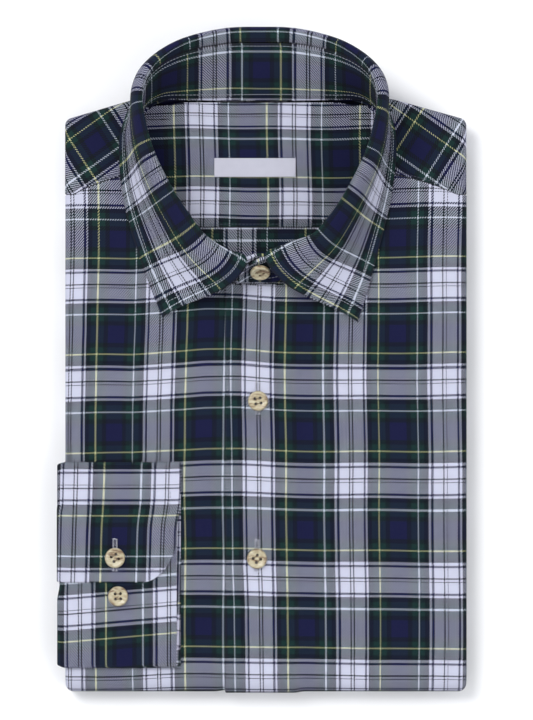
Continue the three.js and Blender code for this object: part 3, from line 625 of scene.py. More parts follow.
def flannel():
    """Brushed 2/2 twill in the check, woven thread by thread from the cloth coordinates, with painted shade
    at each yarn's edges and in the gaps between yarns.
    """
    make = Finish("flannel")
    place = make.coordinates()
    nap, nap_too = (make.noise(place, scale, 1.0) for scale in NAP_SCALES)
    u, v = make.cloth_place()
    end = u / (END_WIDTH * MM) + (nap - 0.5) * THREAD_WANDER
    pick = v / (PICK_WIDTH * MM) + (nap_too - 0.5) * THREAD_WANDER
    end_number = make.maths("FLOOR", end)
    pick_number = make.maths("FLOOR", pick)
    warp_place = make.maths("FRACT", (end_number + 0.5) * (END_WIDTH / END_PITCH / REPEAT))
    weft_place = make.maths("FRACT", (pick_number + 0.5) * (PICK_WIDTH / PICK_PITCH / REPEAT))
    warp = make.charted(chart_stops("yellow", "light blue"), warp_place)
    weft = make.charted(chart_stops("light blue", "yellow"), weft_place)
    step = make.maths("FRACT", (end_number + pick_number + 0.25) / 4)
    warp_up = make.maths("LESS_THAN", step, 0.5)
    over = make.mix(warp_up, weft, warp)
    # Painted shade at the yarn edges: there the colour is the dimmer of the two crossing yarns
    yarn_edge_shade_colour = make.mix(1.0, weft, warp, "DARKEN")
    round_end = make.maths("SINE", make.maths("FRACT", end) * math.pi)
    round_pick = make.maths("SINE", make.maths("FRACT", pick) * math.pi)
    yarn = warp_up * round_end + (1 - warp_up) * round_pick
    yarn_edge_shade = make.maths("LESS_THAN", yarn, YARN_SHADE_EDGE)
    # Painted shade between the yarns: the colour dims by up to 14 percent towards each yarn's edges
    woven = make.scaled(make.mix(yarn_edge_shade, over, yarn_edge_shade_colour), 0.86 + 0.14 * yarn)
    mottle = make.noise(place, MOTTLE_SCALE, 4.0, 0.6)
    fuzz = make.noise(place, FUZZ_SCALE, 3.0, 0.7)
    fibre = make.mix(fuzz * 0.02, woven, FIBRE)
    worn = make.node("ShaderNodeAttribute", {"attribute_name": "worn"}, output=2)
    rubbed = make.mix(worn * 0.015, fibre, RUBBED)
    return make.finish({
        "Base Color": make.scaled(rubbed, 0.90 + 0.20 * mottle),
        "Roughness": 0.80 + 0.15 * fuzz,
        "Normal": make.bump(yarn + fuzz * 0.6, 0.35, 0.12),
        "Sheen Weight": 0.02,
        "Sheen Roughness": 0.5,
        "Specular IOR Level": 0.06,
    })


THREAD_GRAIN = 2600.0
THREAD_SHADE = 0.72


def thread_finish(name, shade):
    make = Finish(name)
    grain = make.noise(make.coordinates(), THREAD_GRAIN, 2.0)
    return make.finish({
        "Base Color": make.mix(grain, tuple(THREAD_SHADE * part for part in shade), shade),
        "Roughness": 0.62 + 0.2 * grain,
        "Normal": make.bump(grain, 0.4, 0.1),
        "Sheen Weight": 0.1,
    })


RIB_PITCH = 0.28
RIBBON_END_PITCH = 0.45
RIBBON_DARK = (0.36, 0.36, 0.43)
RIBBON_LIGHT = (0.50, 0.50, 0.57)


def ribbon():
    """Blank woven satin ribbon with fine ribs."""
    make = Finish("ribbon")
    u, v = make.cloth_place()
    rib = make.maths("SINE", v * (2 * math.pi / (RIB_PITCH * MM)))
    thread = make.maths("SINE", u * (2 * math.pi / (RIBBON_END_PITCH * MM)))
    weave = (rib * 0.6 + thread * 0.4) * 0.5 + 0.5
    mottle = make.noise(make.coordinates(), 240.0, 3.0)
    return make.finish({
        "Base Color": make.mix(weave * 0.5 + mottle * 0.3, RIBBON_DARK, RIBBON_LIGHT),
        "Roughness": 0.42 + 0.15 * mottle,
        "Normal": make.bump(weave, 0.35, 0.05),
        "Sheen Weight": 0.2,
    })


HORN_TURN = 0.9
HORN_STRETCH = (150.0, 420.0, 300.0)
HORN_STOPS = (
    (0.32, (0.060, 0.036, 0.020)),
    (0.41, (0.20, 0.13, 0.075)),
    (0.49, (0.38, 0.32, 0.20)),
    (0.64, (0.52, 0.48, 0.34)),
)


def horn():
    """Horn-effect resin: beige with brown streaks under a soft polish."""
    make = Finish("horn")
    stretched = make.node("ShaderNodeMapping", None, {
        "Vector": make.coordinates(), "Rotation": (0.0, 0.0, HORN_TURN), "Scale": HORN_STRETCH})
    cloud = make.noise(stretched, 1.0, 4.0, 0.62)
    streak = make.noise(stretched, 2.3, 2.0, 0.5)
    patches = cloud * 0.65 + streak * 0.35
    return make.finish({
        "Base Color": make.node("ShaderNodeValToRGB", {"blended stops": HORN_STOPS}, {0: patches}),
        "Roughness": 0.30 + 0.15 * cloud,
        "Normal": make.bump(streak, 0.08, 0.2),
        "Coat Weight": 0.25,
    })


FLANNEL = flannel()
WHITE_THREAD = thread_finish("white_thread", (0.72, 0.73, 0.82))
NAVY_THREAD = thread_finish("navy_thread", (0.035, 0.036, 0.075))
GREY_THREAD = thread_finish("grey_thread", (0.34, 0.36, 0.42))
BROWN_THREAD = thread_finish("brown_thread", (0.20, 0.14, 0.09))
RIBBON = ribbon()
HORN = horn()


def dress(piece, material, slot, *nodes):
    piece.data.materials.clear()
    piece.data.materials.append(material)
    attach(piece, "root")
    if nodes:
        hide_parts(*nodes)


def flannel_piece(node, face, cloth, wall):
    piece = cloth_wall(node + "_cloth", face, cloth, wall)
    dress(piece, FLANNEL, "flannel", node)
    return piece


def face_area(face):
    """Area of a grid of points, in square millimetres."""
    one = np.cross(face[1:, :-1] - face[:-1, :-1], face[:-1, 1:] - face[:-1, :-1])
    other = np.cross(face[1:, :-1] - face[1:, 1:], face[:-1, 1:] - face[1:, 1:])
    return float((np.linalg.norm(one, axis=2) + np.linalg.norm(other, axis=2)).sum() / 2)


def declare_rough(face, flat):
    """Area of the face in square metres, at most the cut's outer size; the value is not used."""
    area = min(face_area(face) * MM * MM, flat[0] * flat[1])


def threads(ends, picks):
    return np.stack([np.asarray(ends) * END_PITCH, np.asarray(picks) * PICK_PITCH], axis=-1)


# Fronts

def shift_with_neck(side, x):
    share = min(max((HALF_WIDTH - x) / (HALF_WIDTH - NECK_POINT_X), 0), 1)
    return side * x + NECK_X * share


def front_top(side, a):
    """Top edge of a front at a distance from the body's middle."""
    shift = side * NECK_X
    lap_y = LAP_NECK_Y if side > 0 else UNDER_NECK_Y
    neck = sorted((row["seam"][0] + shift, row["seam"][1] - SEAM_GAP) for row in COLLAR[NECK_POINT_ROW:])
    seam = sorted((side * shift_with_neck(side, station[2][0]), station[2][1] - SEAM_GAP)
                  for station in YOKE_STATIONS[:FORWARD_STATIONS])
    neck_y = np.maximum(lap_y, np.interp(a, *np.array(neck).T))
    seam_y = np.interp(a, *np.array(seam).T)
    return np.where(a <= neck[0][0], lap_y, np.where(a < NECK_POINT_X + shift, neck_y, seam_y))


def front_profile(a):
    turn = np.clip((a - ROLL_X) / ROLL_RADIUS, 0, math.pi)
    x = np.where(a <= ROLL_X, a, ROLL_X + ROLL_RADIUS * np.sin(turn))
    rise = FOLD_RADIUS - ROLL_RADIUS + ROLL_RADIUS * np.cos(turn)
    past = np.maximum(0, a - ROLL_X - math.pi * ROLL_RADIUS)
    return x - past, np.where(a <= ROLL_X, FOLD_RADIUS, rise)


def front_grid(side, a, lap_offset):
    """Face points of a front and its unrolled y, down the top, round the hem fold and underneath."""
    x, rise = front_profile(a)
    top_y = front_top(side, np.minimum(a, HALF_WIDTH))
    down = joined_steps((0, 1, 150))
    y_top = top_y[:, None] + (FOLD_LINE_Y - top_y[:, None]) * down[None, :]
    z_top = np.repeat((FOLD_RADIUS + rise + lap_offset(a, 0))[:, None], len(down), axis=1)
    flat = smooth((ROLL_X + 1 - a) / 12)[:, None] * smooth((y_top - FOLD_LINE_Y + 2) / 16)
    z_top = z_top + relief(side * x[:, None], y_top) * flat
    turn = np.linspace(0, math.pi, 25)[1:]
    reach = rise[:, None] + np.stack([lap_offset(a, t / math.pi) for t in turn], axis=1)
    y_fold = FOLD_LINE_Y - reach * np.sin(turn)
    z_fold = FOLD_RADIUS + reach * np.cos(turn)
    y_under = np.repeat(np.linspace(FOLD_LINE_Y, HEM_Y, 31)[1:][None, :], len(a), axis=0)
    z_under = np.repeat((FOLD_RADIUS - rise - lap_offset(a, 1))[:, None], y_under.shape[1], axis=1)
    y = np.concatenate([y_top, y_fold, y_under], axis=1)
    z = np.concatenate([z_top, z_fold, z_under], axis=1)
    whole_x = np.repeat((side * x)[:, None], y.shape[1], axis=1)
    unrolled = np.concatenate([y_top, FOLD_LINE_Y - rise[:, None] * turn,
                               FOLD_LINE_Y - rise[:, None] * math.pi - (y_under - FOLD_LINE_Y)], axis=1)
    return np.stack([whole_x, y, z], axis=-1), unrolled


def front_cloth(side, a, unrolled, warp, off_true):
    x = np.repeat((side * a)[:, None], unrolled.shape[1], axis=1)
    across, down = drift(x, unrolled)
    off_across, off_down = wander(off_true, x, unrolled)
    return threads(straight_table(warp, x + across - off_across),
                   straight_table(FRONT_WEFT, unrolled + down + off_down))


def make_fronts():
    roll_end = ROLL_X + math.pi * ROLL_RADIUS
    left = joined_steps((UPPER_LAP_X, UNDER_LAP_X, 34), (UNDER_LAP_X, UNDER_LAP_X + LAP_SLOPE, 9),
                        (UNDER_LAP_X + LAP_SLOPE, ROLL_X, 78), (ROLL_X, roll_end, 20),
                        (roll_end, roll_end + TUCK, 4))

    def upper_offset(a, turned):
        return LAP_RISE * (1 - smooth((a - UNDER_LAP_X) / LAP_SLOPE)) * (1 - turned)

    face, unrolled = front_grid(1, left, upper_offset)
    cloth = front_cloth(1, left, unrolled, LEFT_FRONT_WARP, LEFT_WANDER)
    piece = flannel_piece("left_front", face, cloth, CLOTH)

    slope_x = -UPPER_LAP_X
    right = joined_steps((-UNDER_LAP_X, slope_x, 34), (slope_x, slope_x + LAP_SLOPE, 9),
                         (slope_x + LAP_SLOPE, ROLL_X, 74), (ROLL_X, roll_end, 20),
                         (roll_end, roll_end + TUCK, 4))

    def under_offset(a, turned):
        return -LAP_RISE * (1 - smooth((a - slope_x) / LAP_SLOPE)) * turned

    face, unrolled = front_grid(-1, right, under_offset)
    cloth = front_cloth(-1, right, unrolled, RIGHT_FRONT_WARP, RIGHT_WANDER)
    piece = flannel_piece("right_front", face, cloth, -CLOTH)


# Outer yoke

# The check lies askew on the shoulders: where a yellow warp line crosses a yellow weft line, and the
# directions in which the warp and weft threads are counted
YOKE_CHECK = {
    -1: {"at": (-113.0, 147.5), "ends": (0.838, 0.545), "picks": (0.584, -0.812), "pick_space": 0.292},
    1: {"at": (85.4, 157.7), "ends": (0.843, -0.538), "picks": (-0.575, -0.818), "pick_space": 0.307},
}
YOKE_END_SPACE = 0.319
YOKE_END_AT = 80
YOKE_PICK_AT = 150
YOKE_STEPS = 8
YOKE_KNEE = 0.45
YOKE_FLAT = (0.42, 0.062)


def yoke_section(side, roll, turn, seam):
    facing = np.array([side * math.cos(math.radians(turn)), math.sin(math.radians(turn)), 0])
    share = min(max((HALF_WIDTH - roll[0]) / (HALF_WIDTH - NECK_POINT_X), 0), 1)
    centre = np.array([side * roll[0] + NECK_X * share * (1 if turn >= 89 else 0.4), roll[1],
                       STACK - ROLL_RADIUS])
    inner = np.array([shift_with_neck(side, seam[0]), seam[1], STACK])
    up = np.array([0, 0, 1.0])

    def on_roll(bend):
        return centre + facing * ROLL_RADIUS * math.sin(bend) + up * ROLL_RADIUS * math.cos(bend)

    def spread(bend):
        return centre + facing * ROLL_RADIUS * bend

    past = float((inner - centre) @ facing)
    start = math.asin(min(1, past / ROLL_RADIUS)) if past > 0 else 0
    knee = start + YOKE_KNEE if past > 0 else 0
    points, plan = [], []
    for t in np.linspace(0, 1, 19):
        if past > 0:
            bend = start + (knee - start) * t
            points.append(on_roll(bend))
            plan.append(spread(bend))
        else:
            points.append(inner + (on_roll(0) - inner) * t)
            plan.append(points[-1])
    for bend in np.linspace(knee, math.pi, 19)[1:]:
        points.append(on_roll(bend))
        plan.append(spread(bend))
    for t in (0.33, 0.67, 1):
        points.append(on_roll(math.pi) - facing * TUCK * t)
        plan.append(spread(math.pi) + facing * TUCK * t)
    return np.array(points), np.array(plan)[:, :2]


def yoke_threads(side, plan):
    check = YOKE_CHECK[side]
    away = plan - np.array(check["at"])
    ends = YOKE_END_AT + away @ np.array(check["ends"]) / YOKE_END_SPACE
    picks = YOKE_PICK_AT - away @ np.array(check["picks"]) / check["pick_space"]
    return threads(ends, picks)


def make_outer_yoke():
    steps = []
    for (roll_a, turn_a, seam_a), (roll_b, turn_b, seam_b) in zip(YOKE_STATIONS, YOKE_STATIONS[1:]):
        for t in np.arange(YOKE_STEPS) / YOKE_STEPS:
            roll = np.array(roll_a) * (1 - t) + np.array(roll_b) * t
            seam = np.array(seam_a) * (1 - t) + np.array(seam_b) * t
            steps.append((roll, turn_a * (1 - t) + turn_b * t, seam))
    steps.append(YOKE_STATIONS[-1])
    faces, cloths = [], []
    for side, run in ((-1, steps), (1, steps[:-1][::-1])):
        for roll, turn, seam in run:
            points, plan = yoke_section(side, roll, turn, seam)
            faces.append(points)
            cloths.append(yoke_threads(side, plan))
    face, cloth = np.array(faces), np.array(cloths)
    lift = smooth((face[..., 2] - STACK + 0.6) / 0.6) * smooth((150 - face[..., 1]) / 14)
    face[..., 2] += 0.6 * relief(face[..., 0], face[..., 1]) * lift
    piece = flannel_piece("yoke_outer", face, cloth, -CLOTH)
    declare_rough(face, YOKE_FLAT)
    return face


# Inner yoke, back panel and label

INNER_RISE_X = 40
INNER_RISE_Y = 156
INNER_DIP = 1.7
INNER_DIP_Y = 160
INNER_SAG = 0.35
LABEL_LEFT = -29.9
LABEL_RIGHT = 17.3
LABEL_BOTTOM = 126
LABEL_TOP = 136.9
LABEL_WALL = 0.6
LABEL_HEIGHT = 0.85
LABEL_SEWN_END = 1.2


def inner_level(x, y):
    middle = 1 - smooth((np.abs(x) - INNER_RISE_X) / 14)
    return INNER_Z + INNER_RISE * middle * smooth((y - INNER_RISE_Y) / (INNER_BACK_Y - INNER_RISE_Y))


def inner_sag(x, y):
    return INNER_SAG * np.sin(x / 15 + 0.6) * np.sin(y / 12)


def inner_grid(from_y, to_y, across, rows):
    x = np.linspace(-INNER_HALF_X, INNER_HALF_X, across + 1)[:, None]
    y = np.linspace(from_y, to_y, rows + 1)[None, :]
    x, y = np.broadcast_arrays(x, y)
    end_y = np.where(y > INNER_DIP_Y, y - INNER_DIP * smooth((np.abs(x) - 44) / 12), y)
    sag = inner_sag(x, y) * smooth((60 - np.abs(x)) / 12)
    return np.stack([NECK_X + x, end_y, inner_level(x, y) + sag * smooth((150 - y) / 10)], axis=-1)


def make_inner_yoke():
    face = inner_grid(INNER_SEAM_Y, INNER_BACK_Y, 110, 60)
    across, down = drift(face[..., 0] * 1.3, face[..., 1] * 1.2)
    cloth = threads(straight_table(INNER_YOKE_WARP, face[..., 0] + across),
                    straight_table(INNER_YOKE_WEFT, face[..., 1] + down))
    piece = flannel_piece("yoke_inner", face, cloth, -CLOTH)
    return face


def make_back_panel():
    panel = inner_grid(PANEL_END_Y, INNER_SEAM_Y - SEAM_GAP, 110, 30)
    panel[..., 2] -= 0.5 * smooth((panel[..., 1] - INNER_SEAM_Y + 3) / 3)
    cloth = threads(straight_table(BACK_PANEL_WARP, panel[..., 0]),
                    straight_table(BACK_PANEL_WEFT, panel[..., 1]))
    piece = flannel_piece("back_panel", panel, cloth, -CLOTH)


def make_label():
    x, y = np.meshgrid(np.linspace(LABEL_LEFT, LABEL_RIGHT, 61), np.linspace(LABEL_BOTTOM, LABEL_TOP, 19),
                       indexing="ij")
    from_middle = np.abs(x - (LABEL_LEFT + LABEL_RIGHT) / 2)
    ends = smooth((from_middle - (LABEL_RIGHT - LABEL_LEFT) / 2 + LABEL_SEWN_END) / LABEL_SEWN_END)
    level = inner_level(x - NECK_X, y) + inner_sag(x - NECK_X, y)
    z = level + SEAM_GAP + LABEL_HEIGHT - 0.25 * ends + 0.1 * np.sin(x / 5)
    label = np.stack([x, y, z], axis=-1)
    cloth = np.stack([x - LABEL_LEFT, y - LABEL_BOTTOM], axis=-1)
    piece = cloth_wall("neck_label_ribbon", label, cloth, -LABEL_WALL)
    dress(piece, RIBBON, "label", "neck_label")
    return label


# Collar

def placed_section(side, row):
    same = {"trim": 0, "drop": 0, "close": 0, "rise": 0, "lap": 0}
    own = row if side > 0 else same

    def at_neck(point, inward, up):
        return np.array([NECK_X + side * (point[0] - inward), point[1] + up, point[2]])

    seam = at_neck(row["seam"], own["close"], -own["lap"])
    in_lap = 1 - smooth((seam[0] - UNDER_LAP_X) / (2 * LAP_SLOPE)) if side > 0 else 0
    seam[2] += LAP_RISE * in_lap
    heading = math.radians(row["heading"])
    return {
        "seam": seam,
        "top": at_neck(row["top"], own["close"], own["rise"]),
        "edge": at_neck(row["edge"], own["trim"], -own["drop"]),
        "heading": np.array([side * math.sin(heading), math.cos(heading), 0]),
        "flare": row["flare"], "reach": row["reach"], "lift": row["lift"],
    }


LEAF_ROWS = [placed_section(-1, row) for row in COLLAR[:0:-1]] + [placed_section(1, row) for row in COLLAR]
BACK_ROW = len(COLLAR) - 1


def leaf_line(row):
    seam, top, edge, heading = (table_value(LEAF_ROWS, row, key)
                                for key in ("seam", "top", "edge", "heading"))
    flare, reach, lift = (float(table_value(LEAF_ROWS, row, key)) for key in ("flare", "reach", "lift"))
    heading, flare = unit(heading), math.radians(flare)
    last = len(LEAF_ROWS) - 1
    along = unit(table_value(LEAF_ROWS, min(row + 0.25, last), "top")
                 - table_value(LEAF_ROWS, max(row - 0.25, 0), "top"))
    up = top - seam
    up = unit(up - along * (up @ along))
    outward = unit(np.cross(up, along))
    centre = top + up * lift + outward * LEAF_FOLD
    to_edge = edge - centre
    whole = math.atan2(to_edge @ outward, to_edge @ up) - LEAF_EARLY

    def on_fold(turn):
        return centre - outward * LEAF_FOLD * math.cos(turn) + up * LEAF_FOLD * math.sin(turn)

    leaving = up * math.cos(whole) + outward * math.sin(whole)
    start = on_fold(whole)
    arriving = heading * math.cos(flare) - np.array([0, 0, math.sin(flare)])
    span = float(np.linalg.norm(start - edge))
    p1, p2 = start + leaving * 0.3 * span, edge - arriving * reach
    first = top + up * (SEAM_GAP + 0.2)
    points = [first + (on_fold(0) - first) * t for t in np.linspace(0, 1, 6)[:-1]]
    points += [on_fold(turn) for turn in np.linspace(0, whole, 19)]
    for t in np.linspace(0, 1, 41)[1:]:
        near = (1 - t) ** 3 * start + 3 * (1 - t) ** 2 * t * p1
        points.append(near + 3 * (1 - t) * t * t * p2 + t ** 3 * edge)
    return np.array(points)


def line_lengths(lines):
    """Distance along each line of a grid from its first point."""
    steps = np.linalg.norm(np.diff(lines, axis=1), axis=2)
    return np.concatenate([np.zeros((len(lines), 1)), np.cumsum(steps, axis=1)], axis=1)


def make_stand():
    rows = [*STAND_UNDER_END, *LEAF_ROWS, *STAND_UPPER_END]
    places = np.linspace(0, len(rows) - 1, 281)
    heights = np.linspace(0, 1, 17)
    seams = np.array([table_value(rows, row, "seam") for row in places])
    tops = np.array([table_value(rows, row, "top") for row in places])
    face = seams[:, None, :] + (tops - seams)[:, None, :] * heights[None, :, None]
    hollow = grid_normals(face) * (np.sin(math.pi * heights) ** 2)[None, :, None]
    face = face + hollow * STAND_HOLLOW
    along = np.concatenate([[0], np.cumsum(np.linalg.norm(np.diff(face[:, 8], axis=0), axis=1))])
    back = np.interp(BACK_ROW + len(STAND_UNDER_END), places, along)
    lap_shift = STAND_END_SHIFT * smooth((places - len(rows) + 7) / 4)
    ends = STAND_WARP_CENTRE - (along - back) / END_PITCH + lap_shift
    from_top = line_lengths(face[:, ::-1])[:, ::-1]
    from_end = np.minimum(places, len(rows) - 1 - places)
    top_pick = np.interp(from_end, *np.array(STAND_TOP_WEFT).T)[:, None]
    picks = top_pick + from_top * STAND_WEFT_EASE / PICK_PITCH
    cloth = threads(np.repeat(ends[:, None], picks.shape[1], axis=1), picks)
    piece = flannel_piece("collar_stand", face, cloth, -STAND_WALL)
    return face


def make_leaf():
    leaf_places = np.linspace(0, len(LEAF_ROWS) - 1, 261)
    leaf = np.array([leaf_line(row) for row in leaf_places])
    ends = straight_table(LEAF_WARP, leaf_places)
    from_end = BACK_ROW - np.abs(leaf_places - BACK_ROW)
    distance = line_lengths(leaf)
    distance -= distance[:, LEAF_FOLD_STEP, None]
    share = distance / distance[:, -1:]
    ahead = unit(np.gradient(leaf, axis=0)) * np.sign(leaf_places - BACK_ROW)[:, None, None]
    ahead[..., 2] = 0
    squared = LEAF_END_REACH * smooth(1 - from_end / 1.6)[:, None]
    squared = squared * smooth((1 - share) / 0.7) * smooth(share / 0.1)
    leaf = leaf + ahead * squared[..., None]
    ends = ends[:, None] + squared * np.sign(leaf_places - BACK_ROW)[:, None] / END_PITCH
    fold_weft = straight_table(LEAF_FOLD_WEFT, from_end)[:, None]
    edge_weft = straight_table(LEAF_EDGE_WEFT, from_end)[:, None]
    on_sides = fold_weft + (edge_weft - fold_weft) * share
    at_back = fold_weft + (distance + LEAF_FOLD_STRETCH * smooth((distance - 0.2) / 1.6)) / PICK_PITCH
    behind = smooth((from_end - 7.5) / 2)[:, None]
    picks = on_sides * (1 - behind) + at_back * behind
    lean = np.interp(from_end, *np.array(LEAF_LEAN).T)[:, None] * np.clip(share, 0, 1) ** 1.4
    ends = ends + lean * np.sign(BACK_ROW - leaf_places)[:, None]
    cloth = threads(ends, picks)
    piece = flannel_piece("collar_leaf", leaf, cloth, -LEAF_WALL)
    return leaf


# Cuff and sleeve end

def cuff_strip(edge_y):
    """Rows of the wound strip: y, height above the body and freedom to stand off."""
    fold_top = CUFF_TOP_Y - TUBE_RADIUS
    fold_bottom = CUFF_BOTTOM_Y + TUBE_RADIUS
    meet_y = CUFF_UNDER_Y + 1
    strip = [(y, TOP_LEVEL, 0) for y in np.linspace(edge_y, meet_y, 31)]
    strip += [(meet_y + 8 * t, TOP_LEVEL + (MID_LEVEL - TOP_LEVEL) * smooth(t), 1)
              for t in np.linspace(0, 1, 11)[1:]]
    strip += [(y, MID_LEVEL, 1) for y in np.linspace(meet_y + 8, fold_top, 17)[1:-1]]
    strip += [(fold_top + TUBE_RADIUS * math.sin(t), LOW_LEVEL + TUBE_RADIUS * (1 + math.cos(t)), 1)
              for t in np.linspace(0, math.pi, 13)]
    strip += [(y, LOW_LEVEL, 1) for y in np.linspace(fold_top, fold_bottom, 21)[1:-1]]
    strip += [(fold_bottom - TUBE_RADIUS * math.sin(t), LOW_LEVEL + TUBE_RADIUS * (1 - math.cos(t)), 1)
              for t in np.linspace(0, math.pi, 13)]
    strip += [(y, MID_LEVEL, float(smooth((CUFF_LAP_Y - 1 - y) / 10)))
              for y in np.linspace(fold_bottom, CUFF_UNDER_Y, 41)[1:]]
    return np.array(strip)


def lap_edge(x):
    along = min(max((x - CUFF_CORNER_X) / (CUFF_FREE_X - CUFF_CORNER_X), 0), 1)
    return CUFF_CORNER_Y - (CUFF_CORNER_Y - CUFF_LAP_Y) * math.sqrt(1 - 0.985 * along * along)


def cuff_points(x, bend, strip):
    y, height, free = strip.T
    middle = (CUFF_TOP_Y + CUFF_BOTTOM_Y) / 2
    narrowing = CUFF_NARROWING * smooth((bend / CUFF_BEND - 0.55) / 0.45)
    placed_y = middle + (y - middle) * (1 - narrowing)
    if bend == 0:
        slant = np.where(height > 3.5, CUFF_SLANT * smooth((-58 - y) / 20), 0)
        share = (x + ROLL_X) / (CUFF_FREE_X + ROLL_X)
        placed_x = x - slant * share
        return np.stack([placed_x, placed_y, STACK + height + relief(placed_x, placed_y)
                         * smooth((ROLL_X + 1 + x) / 12)], axis=1)
    stand_off = ((TOP_LEVEL - MID_LEVEL) / (MID_LEVEL - LOW_LEVEL)) * free * math.sin(bend) ** 2
    radius = ROLL_RADIUS + np.minimum(TOP_LEVEL, LOW_LEVEL + (height - LOW_LEVEL) * (1 + stand_off))
    return np.stack([-ROLL_X - radius * math.sin(bend), placed_y,
                     STACK - ROLL_RADIUS + radius * math.cos(bend)], axis=1)


def make_cuff():
    flat = joined_steps((CUFF_FREE_X, CUFF_CORNER_X, 26), (CUFF_CORNER_X, -ROLL_X, 32))
    bends = np.linspace(0, CUFF_BEND, 17)[1:]
    columns = [(x, 0.0) for x in flat] + [(-ROLL_X, bend) for bend in bends]
    face, cloth = [], []
    for x, bend in columns:
        strip = cuff_strip(lap_edge(x))
        points = cuff_points(x, bend, strip)
        spread_x = x - (ROLL_RADIUS + 4) * bend
        y = strip[:, 0]
        steps = np.concatenate([[0], np.cumsum(np.linalg.norm(np.diff(strip[:, :2], axis=0), axis=1))])
        wound = CUFF_THREAD + (points[0, 1] - CUFF_UPPER_Y) / CUFF_UPPER_PICK + steps / PICK_PITCH
        lean = 0.85 + CUFF_LEAN * (y + 38.9) - 1.5 * smooth((-90 - spread_x) / 25)
        upper_warp = CUFF_THREAD + (spread_x - CUFF_UPPER_X - lean) / CUFF_UPPER_END
        under = np.arange(len(strip)) >= len(strip) - CUFF_UNDER_ROWS
        slant = CUFF_UNDER_SLANT * (spread_x + 85)
        under_weft = CUFF_THREAD + (y - CUFF_UNDER_CHECK_Y - slant) / PICK_PITCH
        under_warp = CUFF_THREAD + (spread_x - CUFF_UNDER_X) / CUFF_UNDER_END
        face.append(points)
        cloth.append(threads(np.where(under, under_warp, upper_warp), np.where(under, under_weft, wound)))
    face, cloth = np.array(face), np.array(cloth)
    piece = flannel_piece("right_cuff", face, cloth, CUFF_WALL)
    return face


def make_sleeve():
    half = (SLEEVE_OUTER - SLEEVE_INNER) / 2
    middle = (SLEEVE_OUTER + SLEEVE_INNER) / 2
    fold_top = CUFF_TOP_Y - 2 - half
    fold_bottom = CUFF_BOTTOM_Y + 2 + half
    slit_y = (fold_top + fold_bottom) / 2
    section = [(y, SLEEVE_INNER) for y in np.linspace(slit_y, fold_bottom, 24)[:-1]]
    section += [(fold_bottom - half * math.sin(t), middle - half * math.cos(t))
                for t in np.linspace(0, math.pi, 15)]
    section += [(y, SLEEVE_OUTER) for y in np.linspace(fold_bottom, fold_top, 48)[1:-1]]
    section += [(fold_top + half * math.sin(t), middle + half * math.cos(t))
                for t in np.linspace(0, math.pi, 15)]
    section += [(y, SLEEVE_INNER) for y in np.linspace(fold_top, slit_y + SEAM_GAP, 24)[1:]]
    y, radius = np.array(section).T
    steps = np.concatenate([[0], np.cumsum(np.hypot(np.diff(y), np.diff(radius)))])
    face, cloth = [], []
    for bend in np.linspace(SLEEVE_START, SLEEVE_END, 25):
        reach = radius - np.abs(SLEEVE_PUFF * np.sin(y / 6) * np.where(radius > middle, 1, 0))
        face.append(np.stack([-ROLL_X - reach * math.sin(bend), y,
                              STACK - ROLL_RADIUS + reach * math.cos(bend)], axis=1))
        cloth.append(threads(np.full(len(y), 30 - bend * middle / END_PITCH), 30 + steps / PICK_PITCH))
    face, cloth = np.array(face), np.array(cloth)
    inward = -1 if grid_normals(face)[12, 60] @ (face[12, 60] - face[12, 5]) > 0 else 1
    piece = flannel_piece("right_sleeve", face, cloth, inward * SLEEVE_WALL)


# Hidden layers, with more folds at the edges than the solids

# Bottom and top level, x of the sides, x and y of the hem fold's corners, and y of the back edge. The
# upper ones have no back edge of their own and end under the yoke.
PLIES = (
    (16.9, 18.4, 110.9, 108.5, -156.8, None),
    (15.2, 16.8, 110.4, 108.0, -158.6, None),
    (13.6, 15.1, 110.9, 107.5, -163.0, None),
    (12.0, 13.5, 110.2, 107.5, -164.6, None),
    (10.1, 12.2, 101.8, 101.8, -164.6, 132),
    (7.8, 10.0, 101.5, 101.8, -164.6, 131),
    (6.5, 7.9, 110.6, 107.5, -164.4, 142.6),
    (5.2, 6.4, 110.9, 107.0, -163.0, 141.2),
    (4.2, 5.1, 110.4, 108.0, -160.0, 142.0),
    (3.1, 4.1, 110.9, 108.5, -158.6, 140.4),
)
PLY_GAP = 0.3
PLY_SHIFT = (17, 11)
PLY_SHOULDER = (110.9, 155.6)
PLY_NECK = (72.9, 166.5)
RECESS_MARGIN = 3
RECESS_BACK = 113
RECESS_TOP = 6


def slab(bottom, top, side_x, fold_x, fold_y, back_y, number):
    """One folded ply with a rounded edge all round; its check is shifted by its number."""
    radius = (top - bottom) / 2
    half = [(fold_x, fold_y, turn) for turn in (-90, -68, -45, -22)]
    half.append((side_x, fold_y + 10, 0))
    if back_y is None:
        half += [(*PLY_SHOULDER, turn) for turn in (0, 20, 37, 55, 74)]
        half += [(*PLY_NECK, turn) for turn in (74, 90)]
    else:
        half += [(side_x, back_y, turn) for turn in (0, 22, 45, 68, 90)]
    outline = half + [(-x, y, 180 - turn) for x, y, turn in reversed(half)]
    x, y, turn = np.array(outline, dtype=float).T
    turn = np.radians(turn)
    rings, cloths = [], []
    for tilt in np.linspace(-math.pi / 2, math.pi / 2, 11):
        reach = max(0.01, radius * math.cos(tilt) - PLY_GAP)
        away = radius * (tilt + math.pi / 2)
        rings.append(np.stack([x + reach * np.cos(turn), y + reach * np.sin(turn),
                               np.full(len(x), (top + bottom) / 2 + radius * math.sin(tilt))], axis=1))
        shift_x, shift_y = number * PLY_SHIFT[0], number * PLY_SHIFT[1]
        u = x + away * np.cos(turn) + shift_x
        v = y + away * np.sin(turn) + shift_y
        cloths.append(np.stack([u, v], axis=1))
    return ring_solid(f"ply_{number}", rings, cloths)


